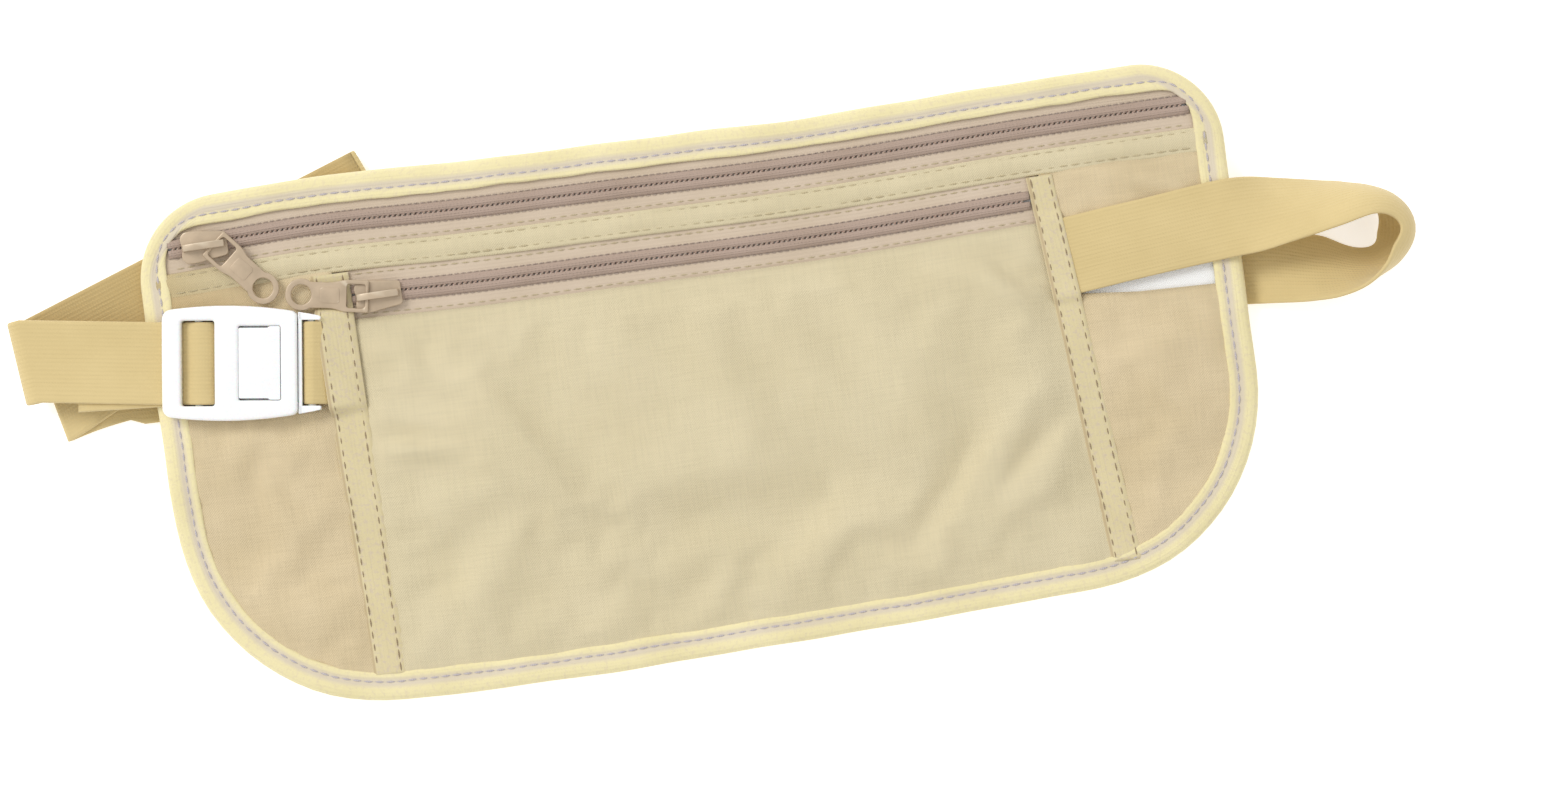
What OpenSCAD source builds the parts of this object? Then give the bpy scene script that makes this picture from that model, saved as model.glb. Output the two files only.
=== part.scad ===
// Waist money belt lying face up: a flat two-zip pouch, a 20 mm elastic belt folded
// behind it and a centre-push buckle closed on its front. Millimetres, +Z up.

/* [Pouch] */
// Width of the pouch over its edge binding
pouch_w = 265; // [255:1:275]
// Height of the pouch over its edge binding
pouch_h = 127; // [125:1:129]
// Radius of the two top corners
top_corner_r = 20; // [17:1:22]
// Radius of the two bottom corners
bottom_corner_r = 49; // [44:1:52]
// Width of the edge binding
binding_w = 7; // [6:0.5:7]
// Radius of the two top corners inside the binding
window_corner_r = 8; // [6:0.5:9]

/* [Belt] */
// Width of the elastic webbing
belt_w = 20; // [18:0.5:20]
// Thickness of the elastic webbing
belt_t = 1; // [0.8:0.05:1]
// Angle of the buckle and the strap beside it
buckle_turn = -7.8; // [-8.4:0.1:-7.4]

/* [Zips] */
// Height of the top zip's centre line above the pouch's middle
top_zip_y = 51.5; // [51:0.1:52]
// Height of the front zip's centre line above the pouch's middle
front_zip_y = 33.7; // [33:0.1:34]
// Width of both zip tapes together where they show
zip_band_w = 11.6; // [11:0.2:12]
// Length of a slider
slider_l = 11.5; // [10.5:0.1:12]
// Width of a slider
slider_w = 7.8; // [7:0.1:8]
// Length of a pull from its eye bar to its tip
pull_l = 20.2; // [18:0.1:20.5]
// Width of a pull
pull_w = 7.8; // [7:0.1:8]

/* [Buckle] */
// Length of the closed buckle
buckle_l = 38.4; // [38:0.1:39]
// Greatest height of the buckle's barrel-shaped outline
buckle_h = 27.8; // [27:0.1:28]
// Thickness of the buckle
buckle_t = 5.3; // [5:0.1:5.6]

/* [Hidden] */

sand = [0.86, 0.81, 0.67];
wing_sand = [0.85, 0.76, 0.62];
edge_sand = [0.87, 0.82, 0.62];
strap_sand = [0.87, 0.79, 0.58];
mauve = [0.72, 0.64, 0.57];
coil_brown = [0.62, 0.52, 0.47];
slider_tan = [0.74, 0.66, 0.55];
lining_white = [0.97, 0.97, 0.96];
buckle_white = [0.98, 0.98, 0.98];

// Pouch edges; the pouch's middle lies 1 mm right of and 0.5 mm below the working origin.
pouch_left = 1 - pouch_w / 2;
pouch_right = 1 + pouch_w / 2;
pouch_top = -0.5 + pouch_h / 2;
pouch_bottom = -0.5 - pouch_h / 2;

// The belt passes three times behind the upper part, which they lift off the table.
// Below them the pouch slopes down and its lower part lies on the table.
stack_z = 3.4;
ramp_high_y = -3;
ramp_low_y = -35;
ramp_steps = 8;

// Heights of the layers above the underside of the pouch: [low, high].
back_z = [0.55, 1.05];
lining_z = [1.1, 1.5];
slider_plate_z = [1.6, 2.1];
tape_z = [2.15, 2.55];
panel_z = [2.6, 3.1];
coil_z = [2.58, 3.7];
slot_z = [0.5, 3.15];
binding_z = [0, 3.65];
seam_z = [3.15, 3.65];
slider_top_z = [3.8, 4.5];
eye_z = 5.1;
bridge_z = [5.75, 6.6];

// Places along the pouch.
seam_gap = 0.1;
edge_wall = 1;
left_seam_x = [-88.5, -81];
left_join_x = -84.8;
slit_y = [8.4, 10.6];
top_coil_x = [-121, 121];
front_coil_x = [-80.2, 84.6];
front_tape_x = [-84.6, 87.4];
tape_w = 8.7;
coil_gap = 0.3;
coil_half_w = 2.2;
top_slider_x = -114.6;
front_slider_x = -74.6;
eye_offset = 2.6;
top_pull_turn = -50;
front_pull_turn = 170;

buckle_at = [-109.1, 22];
far = 400;
tall = 30;

// ---------- outlines ----------

function arc(cx, cy, r, a0, a1, n = 12) =
    [for (i = [0:n]) let (a = a0 + (a1 - a0) * i / n) [cx + r * cos(a), cy + r * sin(a)]];

function pouch_outline(inset, top_r, bottom_r) = concat(
    arc(pouch_right - inset - top_r, pouch_top - inset - top_r, top_r, 0, 90),
    arc(pouch_left + inset + top_r, pouch_top - inset - top_r, top_r, 90, 180),
    arc(pouch_left + inset + bottom_r, pouch_bottom + inset + bottom_r, bottom_r, 180, 270),
    arc(pouch_right - inset - bottom_r, pouch_bottom + inset + bottom_r, bottom_r, 270, 360)
);

module outline_prism(inset) {
    linear_extrude(tall)
        polygon(pouch_outline(inset, top_corner_r - inset, bottom_corner_r - inset));
}

// The opening that the binding frames.
module window_prism(grow = 0) {
    translate([0, 0, -1])
        linear_extrude(tall)
            polygon(pouch_outline(binding_w - grow, window_corner_r, bottom_corner_r - binding_w));
}

// ---------- flat layers that follow the slope ----------

function ramp(t) = (1 - cos(180 * t)) / 2;

function base_points(z) = concat(
    [[-far, z]],
    [for (i = [0:ramp_steps])
        [ramp_low_y + (ramp_high_y - ramp_low_y) * i / ramp_steps, z + stack_z * ramp(i / ramp_steps)]],
    [[far, z + stack_z]]
);

function reversed(list) = [for (i = [len(list) - 1:-1:0]) list[i]];

module layer(z) {
    translate([-far, 0, 0])
        rotate([90, 0, 90])
            linear_extrude(2 * far)
                polygon(concat(base_points(z[0]), reversed(base_points(z[1]))));
}

module block(x, y, z) {
    translate([x[0], y[0], z[0]])
        cube([x[1] - x[0], y[1] - y[0], z[1] - z[0]]);
}

// A layer cut to the pouch's outline and to the prism given as child.
module panel(z) {
    intersection() {
        outline_prism(edge_wall + seam_gap);
        layer(z);
        children();
    }
}

// ---------- seam lines ----------

right_tape_top = [84.6, 91];
right_tape_bottom = [92.6, 100.2];
right_tape_y = [39.5, -62];

function right_join(y) =
    let (t = (right_tape_y[0] - y) / (right_tape_y[0] - right_tape_y[1]))
    (right_tape_top[0] + right_tape_top[1]) / 2 * (1 - t)
        + (right_tape_bottom[0] + right_tape_bottom[1]) / 2 * t;

band_bottom_y = front_zip_y + zip_band_w / 2;
band_top_y = top_zip_y - zip_band_w / 2;
pocket_top_y = front_zip_y - zip_band_w / 2;

module right_of_join(y, gap) {
    linear_extrude(tall)
        polygon([
            [right_join(y[0]) + gap, y[0]],
            [far, y[0]],
            [far, y[1]],
            [right_join(y[1]) + gap, y[1]]
        ]);
}

// ---------- pouch ----------

module back_panel() {
    color(sand) panel(back_z) outline_prism(0);
}

module lining_panel() {
    color(lining_white) panel(lining_z) outline_prism(0);
}

module mid_band_panel() {
    color(sand)
        panel(panel_z)
            block([-far, far], [band_bottom_y, band_top_y], [0, tall]);
}

module front_pocket_panel() {
    color(sand)
        panel(panel_z)
            linear_extrude(tall)
                polygon([
                    [left_join_x + seam_gap, pocket_top_y],
                    [left_join_x + seam_gap, pouch_bottom],
                    [right_join(pouch_bottom) - seam_gap, pouch_bottom],
                    [right_join(pocket_top_y) - seam_gap, pocket_top_y]
                ]);
}

module left_wing(y) {
    color(wing_sand)
        panel(panel_z)
            block([-far, left_join_x - seam_gap], y, [0, tall]);
}

module right_wing(y) {
    color(wing_sand)
        panel(panel_z)
            right_of_join(y, seam_gap);
}

wing_upper_y = [slit_y[1], band_bottom_y - seam_gap];
wing_lower_y = [pouch_bottom, slit_y[0]];

module left_wing_upper() { left_wing(wing_upper_y); }
module left_wing_lower() { left_wing(wing_lower_y); }
module right_wing_upper() { right_wing(wing_upper_y); }
module right_wing_lower() { right_wing(wing_lower_y); }

module edge_binding() {
    color(edge_sand)
        difference() {
            intersection() {
                outline_prism(0);
                layer(binding_z);
            }
            window_prism();
            intersection() {
                outline_prism(edge_wall);
                layer(slot_z);
            }
        }
}

module seam_tape(x_top, x_bottom) {
    color(edge_sand)
        intersection() {
            window_prism(-seam_gap);
            layer(seam_z);
            linear_extrude(tall)
                polygon([
                    [x_top[0], right_tape_y[0]],
                    [x_bottom[0], right_tape_y[1]],
                    [x_bottom[1], right_tape_y[1]],
                    [x_top[1], right_tape_y[0]]
                ]);
        }
}

module left_seam_tape() { seam_tape(left_seam_x, left_seam_x); }
module right_seam_tape() { seam_tape(right_tape_top, right_tape_bottom); }

// ---------- zips ----------

module zip_tape(x, y, side) {
    edges = side > 0 ? [y + coil_gap, y + tape_w] : [y - tape_w, y - coil_gap];
    color(mauve) panel(tape_z) block(x, edges, [0, tall]);
}

module zip_coil(x, y, side) {
    edges = side > 0 ? [y + coil_gap, y + coil_half_w] : [y - coil_half_w, y - coil_gap];
    color(coil_brown)
        intersection() {
            window_prism(-seam_gap);
            block(x, edges, coil_z + [stack_z, stack_z]);
        }
}

module top_zip_tape_upper() { zip_tape([-far, far], top_zip_y, 1); }
module top_zip_tape_lower() { zip_tape([-far, far], top_zip_y, -1); }
module top_zip_coil_upper() { zip_coil(top_coil_x, top_zip_y, 1); }
module top_zip_coil_lower() { zip_coil(top_coil_x, top_zip_y, -1); }
module front_zip_tape_upper() { zip_tape(front_tape_x, front_zip_y, 1); }
module front_zip_tape_lower() { zip_tape(front_tape_x, front_zip_y, -1); }
module front_zip_coil_upper() { zip_coil(front_coil_x, front_zip_y, 1); }
module front_zip_coil_lower() { zip_coil(front_coil_x, front_zip_y, -1); }

slider_r = 2.2;
joint_overlap = 0.1;
neck_l = 5;
neck_w = 0.36;
lip_y = [2.6, 3.5];
lip_z = [2.75, 3.9];
post_x = 5;
post_l = 0.8;
bridge_w = 1.1;

function rounded_box(l, w, r) = concat(
    arc(l / 2 - r, w / 2 - r, r, 0, 90, 6),
    arc(r - l / 2, w / 2 - r, r, 90, 180, 6),
    arc(r - l / 2, r - w / 2, r, 180, 270, 6),
    arc(l / 2 - r, r - w / 2, r, 270, 360, 6)
);

module plate(l, w, r, z) {
    translate([0, 0, z[0]])
        linear_extrude(z[1] - z[0])
            polygon(rounded_box(l, w, r));
}

// Slider centred on its zip line: two plates joined by a neck between the coils,
// side lips that guide the coils, and a bridge on top that holds the pull.
module slider() {
    color(slider_tan) {
        plate(slider_l, slider_w, slider_r, slider_plate_z);
        plate(slider_l, slider_w, slider_r, slider_top_z);
        block(
            [-neck_l / 2, neck_l / 2],
            [-neck_w / 2, neck_w / 2],
            [slider_plate_z[1] - joint_overlap, slider_top_z[0] + joint_overlap]
        );
        for (side = [-1, 1]) {
            y = side > 0 ? lip_y : [-lip_y[1], -lip_y[0]];
            block([-slider_l / 2 + slider_r, slider_l / 2 - slider_r], y, lip_z);
        }
        for (side = [-1, 1]) {
            x = side > 0 ? [post_x - post_l, post_x] : [-post_x, -post_x + post_l];
            block(
                x,
                [-bridge_w / 2, bridge_w / 2],
                [slider_top_z[1] - joint_overlap, bridge_z[0] + joint_overlap]
            );
        }
        block([-post_x, post_x], [-bridge_w / 2, bridge_w / 2], bridge_z);
    }
}

module top_zip_slider() { translate([top_slider_x, top_zip_y, stack_z]) slider(); }
module front_zip_slider() { translate([front_slider_x, front_zip_y, stack_z]) slider(); }

pull_t = 0.8;
eye_bar_r = pull_t / 2;
eye_hole_end = 5;
eye_half_w = 3;
grip_hole_r = 2.6;

// Flat tab along +X, hinged on a round eye bar at the origin, with an eye hole beside the
// bar and a finger hole near the tip.
module pull() {
    end_x = pull_l - eye_bar_r - pull_w / 2;
    color(slider_tan)
        translate([0, 0, eye_z]) {
            rotate([90, 0, 0])
                cylinder(h = pull_w, r = eye_bar_r, center = true, $fn = 24);
            translate([0, 0, -pull_t / 2])
                linear_extrude(pull_t)
                    difference() {
                        polygon(concat(
                            [[0, -pull_w / 2]],
                            arc(end_x, 0, pull_w / 2, -90, 90, 16),
                            [[0, pull_w / 2]]
                        ));
                        translate([-1, -eye_half_w])
                            square([eye_hole_end + 1, 2 * eye_half_w]);
                        translate([end_x, 0])
                            circle(r = grip_hole_r, $fn = 32);
                    }
        }
}

module top_zip_pull() {
    translate([top_slider_x + eye_offset, top_zip_y, stack_z])
        rotate([0, 0, top_pull_turn])
            pull();
}

module front_zip_pull() {
    translate([front_slider_x - eye_offset, front_zip_y, stack_z])
        rotate([0, 0, front_pull_turn])
            pull();
}

// ---------- webbing ----------

// A station of a strap is [centre, half-width vector, thickness direction].
function corners(s) = [
    s[0] - s[1] - s[2] * belt_t / 2,
    s[0] + s[1] - s[2] * belt_t / 2,
    s[0] + s[1] + s[2] * belt_t / 2,
    s[0] - s[1] + s[2] * belt_t / 2
];

function strap_points(stations) = [for (s = stations) each corners(s)];

function strap_faces(n) = concat(
    [[0, 1, 2], [0, 2, 3]],
    [for (i = [0:n - 2]) for (j = [0:3])
        let (a = 4 * i + j, b = 4 * i + (j + 1) % 4)
        each [[a, a + 4, b + 4], [a, b + 4, b]]],
    [[4 * n - 1, 4 * n - 2, 4 * n - 3], [4 * n - 1, 4 * n - 3, 4 * n - 4]]
);

module strap(stations) {
    polyhedron(strap_points(stations), strap_faces(len(stations)), convexity = 10);
}

function heading_vector(a) = [cos(a), sin(a), 0];
function unit(v) = v / norm(v);

// Station at a point, running towards heading h and tilted by angle t about its own run:
// 0 lies face up, 90 stands on edge and 180 lies face down.
function station(p, h, t = 0) =
    let (w = cos(t) * heading_vector(h + 90) - [0, 0, sin(t)])
    [p, w * belt_w / 2, unit(cross(heading_vector(h), w))];

// Stations round a fold. The strap runs in towards the fold at height z0 and out of it at
// height z1; a0 and a1 point away from the fold along the two runs.
function fold_bisector(a0, a1) = (a0 + a1) / 2;
function fold_half(a0, a1) =
    let (v = heading_vector(fold_bisector(a0, a1) + 90))
    v * sign(v[1]) * belt_w / 2 / cos((a0 - a1) / 2);
function fold_axis(apex, a0, a1, z0, z1) =
    apex + heading_vector(fold_bisector(a0, a1)) * ((z1 - z0) / 2 + belt_t / 2);

function fold(apex, a0, a1, z0, z1, n = 8) =
    let (
        r = (z1 - z0) / 2,
        out = -heading_vector(fold_bisector(a0, a1)),
        axis = fold_axis(apex, a0, a1, z0, z1),
        side = fold_half(a0, a1)
    )
    [for (i = [0:n])
        let (
            a = -90 + 180 * i / n,
            away = out * cos(a) + [0, 0, sin(a)]
        )
        [axis + away * r + [0, 0, (z0 + z1) / 2], side, sign(out * heading_vector(180)) * away]];

pass_gap = 0.1;
pass_z = [for (i = [0:2]) belt_t / 2 + i * (belt_t + pass_gap)];
front_pass_z = 8.8;
tail_z = front_pass_z - belt_t - pass_gap;
tail_drift = -1.6;
right_pass_z = tail_z;

// Folds behind and beside the pouch, as the outermost points of their middle lines.
left_fold = [-157, 19, 0];
top_fold = [-72, 58.6, 0];
front_fold_u = 55.2;

function buckle_to_pouch(u, v = 0) =
    [buckle_at[0], buckle_at[1], 0] + u * heading_vector(buckle_turn) + v * heading_vector(buckle_turn + 90);

front_fold = buckle_to_pouch(-front_fold_u);

function angle_of(v) = atan2(v[1], v[0]);

right_return = [134.4, 11.5, belt_t / 2];
run_1 = angle_of(right_return - left_fold);
run_2 = angle_of(top_fold - left_fold);
run_3 = angle_of(top_fold - front_fold);

// The loop at the right: the strap leaves the right seam, turns on edge and comes back.
// Each entry is [x, y, z, heading, tilt].
right_loop = [
    [92.4, 19.3, right_pass_z, 5, 0],
    [126, 22.3, right_pass_z, 5, 0],
    [134, 23, 8.7, 3, 6],
    [143.8, 22.9, 8, -2, 34],
    [154.3, 22.4, 8.8, -8, 50],
    [160, 21.6, 9.6, -15, 61],
    [165.5, 20.8, 10.1, -26, 70],
    [169.6, 18.6, 10.3, -48, 75],
    [172, 15, 10.3, -90, 78],
    [171, 11.6, 10.3, -124, 84],
    [168.4, 9.4, 10.2, -148, 96],
    [163.5, 7.6, 9.6, -166, 112],
    [157.5, 7.2, 8.2, -180, 130],
    [150, 8.6, 4.8, -186, 155],
    [142, 10.4, 1.6, -184, 173]
];

function belt_stations() = concat(
    [for (s = right_loop) station([s[0], s[1], s[2]], s[3], s[4])],
    [station(right_return, run_1 - 180, 180)],
    fold(left_fold, run_1, run_2, pass_z[0], pass_z[1]),
    fold(top_fold, run_2 - 180, run_3 - 180, pass_z[1], pass_z[2]),
    [pass_3_end()]
);

split_gap = 0.3;

// The last station behind the front fold, cut parallel to the fold.
function pass_3_end() =
    let (
        a1 = buckle_turn,
        axis = fold_axis(front_fold, run_3, a1, pass_z[2], front_pass_z)
    )
    [[axis[0], axis[1], pass_z[2]] + split_gap * heading_vector(run_3),
     fold_half(run_3, a1), [0, 0, -1]];

bar_u = -10.6;
bar_z = 9.35;
bar_r = 1;
wrap_gap = 0.1;
wrap_r = bar_r + belt_t / 2 + wrap_gap;
wrap_start = 125;
wrap_end = -90;
frame_entry_u = [-16, -14.1];
frame_entry_lean = 18;
tail_start_u = bar_u - 2;
tail_u = -40;

// Station across the buckle's length; lean 0 runs face up and -180 comes back face down.
function u_station(u, z, lean = 0, v = 0) = [
    buckle_to_pouch(u, v) + [0, 0, z],
    heading_vector(buckle_turn + 90) * belt_w / 2,
    -sin(lean) * heading_vector(buckle_turn) + [0, 0, cos(lean)]
];

wrap_steps = 8;

// Stations round one of the buckle's bars, from angle a0 to a1.
function wrap_stations(u, z, a0, a1) =
    [for (i = [0:wrap_steps])
        let (a = a0 + (a1 - a0) * i / wrap_steps)
        u_station(u + wrap_r * cos(a), z + wrap_r * sin(a), a - 90)];

function front_strap_stations() = concat(
    fold(front_fold, run_3, buckle_turn, pass_z[2], front_pass_z),
    [u_station(frame_entry_u[0], front_pass_z), u_station(frame_entry_u[1], front_pass_z, frame_entry_lean)],
    wrap_stations(bar_u, bar_z, wrap_start, wrap_end),
    [u_station(tail_start_u, tail_z, -180), u_station(tail_u, tail_z, -180, tail_drift)]
);

anchor_u = 16.7;
anchor_z = 9.25;
anchor_end_u = 20.6;
anchor_wrap_end = -298;
anchor_top_z = front_pass_z + 0.2;
anchor_top_lean = -28;

function anchor_stations() = concat(
    [u_station(anchor_end_u, tail_z, -180)],
    wrap_stations(anchor_u, anchor_z, wrap_end, anchor_wrap_end),
    [u_station(anchor_end_u, anchor_top_z, anchor_top_lean)]
);

module belt_webbing() { color(strap_sand) strap(belt_stations()); }
module belt_front_strap() { color(strap_sand) strap(front_strap_stations()); }
module buckle_anchor_strap() { color(strap_sand) strap(anchor_stations()); }

// ---------- buckle ----------

buckle_z = [7.3, 7.3 + buckle_t];
crown_u = -4;
crown_k = 0.005;
half_l = buckle_l / 2;
socket_end = 13.4;
window_u = [-14.3, -6.3];
strap_clearance = 0.3;
strap_room = belt_w / 2 + strap_clearance;
bar_root = 0.5;
outer_bar_z = 9.5;
cavity_u = -4;
cavity_v = 9.4;
cavity_z = [8.3, 11.4];
button_u = [-0.8, 9.5];
button_v = 8.9;
button_gap = 0.2;
button_sink = 0.1;
tongue_v = 9.1;
tongue_z = [8.6, 10.4];
tongue_u = [cavity_u + 1, socket_end + 0.6];
catch_u = [3, 5.5];
catch_h = 0.3;
catch_inset = 1;
arm_z = [7.3, 11.2];
arm_u = socket_end + 0.2;
plate_l = 0.9;

function barrel(u) = buckle_h / 2 - crown_k * (u - crown_u) * (u - crown_u);

function barrel_outline(u0, u1, n = 10) = concat(
    [for (i = [0:n]) let (u = u0 + (u1 - u0) * i / n) [u, -barrel(u)]],
    [for (i = [n:-1:0]) let (u = u0 + (u1 - u0) * i / n) [u, barrel(u)]]
);

module barrel_slab(u0, u1, z) {
    translate([0, 0, z[0]])
        linear_extrude(z[1] - z[0])
            polygon(barrel_outline(u0, u1));
}

module in_buckle() {
    translate([buckle_at[0], buckle_at[1], 0])
        rotate([0, 0, buckle_turn])
            children();
}

module cross_bar(u, z) {
    translate([u, 0, z])
        rotate([90, 0, 0])
            cylinder(h = 2 * (strap_room + bar_root), r = bar_r, center = true, $fn = 32);
}

// The socket: a frame with the strap's window and ladder bar, a cavity for the tongue and
// an opening for the press plate.
module buckle_female() {
    color(buckle_white)
        in_buckle() {
            difference() {
                barrel_slab(-half_l, socket_end, buckle_z);
                block(window_u, [-strap_room, strap_room], [0, tall]);
                block([-half_l - 1, window_u[0] + 1], [-strap_room, strap_room], [0, outer_bar_z]);
                block([cavity_u, socket_end + 1], [-cavity_v, cavity_v], cavity_z);
                block(button_u, [-button_v, button_v], [cavity_z[1] - 1, tall]);
            }
            cross_bar(bar_u, bar_z);
        }
}

module buckle_button() {
    color(buckle_white)
        in_buckle()
            block(
                [button_u[0] + button_gap, button_u[1] - button_gap],
                [-button_v + button_gap, button_v - button_gap],
                [cavity_z[1] + button_sink, buckle_z[1] - button_sink]
            );
}

// The tongue with its raised catch, an end plate that meets the socket, and two arms
// that carry the anchor bar.
module buckle_male() {
    color(buckle_white)
        in_buckle() {
            block(tongue_u, [-tongue_v, tongue_v], tongue_z);
            block(
                catch_u,
                [-tongue_v + catch_inset, tongue_v - catch_inset],
                [tongue_z[1] - joint_overlap, tongue_z[1] + catch_h]
            );
            barrel_slab(arm_u, arm_u + plate_l, arm_z);
            difference() {
                barrel_slab(arm_u, half_l, arm_z);
                block([socket_end, half_l + 1], [-strap_room, strap_room], [0, tall]);
            }
            cross_bar(anchor_u, anchor_z);
        }
}

// ---------- placing ----------

// The origin is the middle of the whole object's footprint, on the table.
belt_points = strap_points(belt_stations());
front_points = strap_points(front_strap_stations());
footprint_x = [min([for (p = front_points) p[0]]), max([for (p = belt_points) p[0]])];
footprint_y = [pouch_bottom, max([for (p = belt_points) p[1]])];

module place() {
    translate([-(footprint_x[0] + footprint_x[1]) / 2, -(footprint_y[0] + footprint_y[1]) / 2, 0])
        children();
}

place() back_panel();
place() lining_panel();
place() mid_band_panel();
place() front_pocket_panel();
place() left_wing_upper();
place() left_wing_lower();
place() right_wing_upper();
place() right_wing_lower();
place() edge_binding();
place() left_seam_tape();
place() right_seam_tape();
place() top_zip_tape_upper();
place() top_zip_tape_lower();
place() top_zip_coil_upper();
place() top_zip_coil_lower();
place() front_zip_tape_upper();
place() front_zip_tape_lower();
place() front_zip_coil_upper();
place() front_zip_coil_lower();
place() top_zip_slider();
place() top_zip_pull();
place() front_zip_slider();
place() front_zip_pull();
place() belt_webbing();
place() belt_front_strap();
place() buckle_anchor_strap();
place() buckle_male();
place() buckle_female();
place() buckle_button();
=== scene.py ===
"""Looks of the money belt: cloth, tapes, zips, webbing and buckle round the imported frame.

Lengths are millimetres in the pouch's working frame, as in the part's source, until
make_mesh() turns them into metres in the row's frame.
"""

import math

import bmesh
import bpy
import numpy as np
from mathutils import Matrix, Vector, geometry, noise


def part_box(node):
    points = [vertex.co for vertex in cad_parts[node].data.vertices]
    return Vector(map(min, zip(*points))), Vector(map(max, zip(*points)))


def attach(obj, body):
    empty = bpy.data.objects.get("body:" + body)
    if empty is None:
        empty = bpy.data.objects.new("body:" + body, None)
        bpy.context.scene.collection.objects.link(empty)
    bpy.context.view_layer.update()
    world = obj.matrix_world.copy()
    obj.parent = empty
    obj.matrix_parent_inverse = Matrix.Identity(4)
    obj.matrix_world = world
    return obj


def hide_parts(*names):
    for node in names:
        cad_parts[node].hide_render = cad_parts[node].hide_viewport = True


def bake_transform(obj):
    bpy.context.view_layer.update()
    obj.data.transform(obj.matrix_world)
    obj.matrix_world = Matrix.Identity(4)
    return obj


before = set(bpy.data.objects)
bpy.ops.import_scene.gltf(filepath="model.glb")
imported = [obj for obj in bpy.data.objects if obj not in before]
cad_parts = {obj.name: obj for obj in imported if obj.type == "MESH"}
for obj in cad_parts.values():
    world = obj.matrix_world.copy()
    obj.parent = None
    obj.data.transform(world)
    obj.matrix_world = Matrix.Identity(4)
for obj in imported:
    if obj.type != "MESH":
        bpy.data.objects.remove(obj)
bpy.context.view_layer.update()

MM = 0.001


def node_box(node):
    """A CAD node's box in millimetres of the row's frame."""
    low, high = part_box(node)
    return np.array(low) / MM, np.array(high) / MM


# ---------- places taken from the frame, and the part's driving sizes ----------

BIND_LOW, BIND_HIGH = node_box("edge_binding")
POUCH_MIDDLE = np.array([1.0, -0.5, 0.0])
ORIGIN = (BIND_LOW + BIND_HIGH) / 2 * [1, 1, 0] - POUCH_MIDDLE
POUCH_LOW = (BIND_LOW - ORIGIN)[:2]
POUCH_HIGH = (BIND_HIGH - ORIGIN)[:2]
TOP_R, BOTTOM_R, WINDOW_R, BINDING_W = 20.0, 49.0, 8.0, 7.0

# Levels above the underside. From RAMP_HIGH up, the pouch lies STACK higher, on the strap behind it.
BACK_LEVEL, LINING_LEVEL, PANEL_LEVEL, COIL_LEVEL = 1.0, 2.3, 3.1, 3.05
ZIP_TAPE_Z, SEAM_TAPE_Z, BAND_SEWING_Z = (2.2, 2.6), (3.0, 3.62), 3.22
STACK = node_box("mid_band_panel")[1][2] - PANEL_LEVEL
RAMP_LOW, RAMP_HIGH = -35.0, -3.0

TOP_ZIP_Y, FRONT_ZIP_Y, ZIP_BAND = 51.5, 33.7, 11.6
BAND_Y = (FRONT_ZIP_Y + ZIP_BAND / 2, TOP_ZIP_Y - ZIP_BAND / 2)
POCKET_TOP = FRONT_ZIP_Y - ZIP_BAND / 2
LEFT_TAPE_X = (-88.5, -81.0)
RIGHT_TAPE = ((84.6, 91.0), (92.6, 100.2))
RIGHT_TAPE_Y = (39.5, -62.0)
TUCK = 3.0
BELT_W, BELT_T = 20.0, 1.0
BUCKLE_AT = np.array([-109.1, 22.0, 0.0])
BUCKLE_TURN = -7.8


def heading(angle):
    a = math.radians(angle)
    return np.array([math.cos(a), math.sin(a), 0.0])


BUCKLE_U = heading(BUCKLE_TURN)
BUCKLE_V = heading(BUCKLE_TURN + 90)
UP = np.array([0.0, 0.0, 1.0])


# ---------- mesh helpers ----------


def edit_mesh(mesh, change):
    bm = bmesh.new()
    bm.from_mesh(mesh)
    change(bm)
    bm.to_mesh(mesh)
    bm.free()


def make_mesh(name, points, faces, body, slot, material, across=None):
    """A piece from points in millimetres. across holds each point's place on its own cloth."""
    mesh = bpy.data.meshes.new(name)
    rows = (np.asarray(points, float) + ORIGIN) * MM
    mesh.from_pydata(rows.tolist(), [], [list(f) for f in faces])
    mesh.update()
    if across is not None:
        values = np.zeros((len(rows), 3), np.float32)
        values[:, : np.asarray(across).shape[1]] = across
        mesh.attributes.new("cloth", "FLOAT_VECTOR", "POINT").data.foreach_set("vector", values.ravel())
    mesh.polygons.foreach_set("use_smooth", [True] * len(mesh.polygons))
    obj = bpy.data.objects.new(name, mesh)
    bpy.context.scene.collection.objects.link(obj)
    mesh.materials.append(material)
    edit_mesh(mesh, lambda bm: bmesh.ops.recalc_face_normals(bm, faces=bm.faces))
    if body:
        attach(obj, body)
    return obj


def ring_faces(rows, columns, capped=True):
    """Quads of a tube of rows x columns points whose columns close on themselves."""
    faces = []
    for i in range(rows - 1):
        for j in range(columns):
            a, b = i * columns, (i + 1) * columns
            k = (j + 1) % columns
            faces.append((a + j, a + k, b + k, b + j))
    if capped:
        faces.append(tuple(range(columns))[::-1])
        faces.append(tuple((rows - 1) * columns + j for j in range(columns)))
    return faces


def shifted(faces, start):
    return [tuple(start + v for v in face) for face in faces]


def lengths_along(path):
    steps = np.linalg.norm(np.diff(path, axis=0), axis=1)
    return np.concatenate([[0.0], np.cumsum(steps)])


def noise_at(points, scale, layer):
    return np.array([noise.noise(Vector((x * scale, y * scale, layer))) for x, y in points])


def rectangle(x0, y0, x1, y1):
    return [(x0, y0), (x1, y0), (x1, y1), (x0, y1)]


def mirrored(points):
    return [(x, -y) for x, y in points[::-1]]


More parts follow.
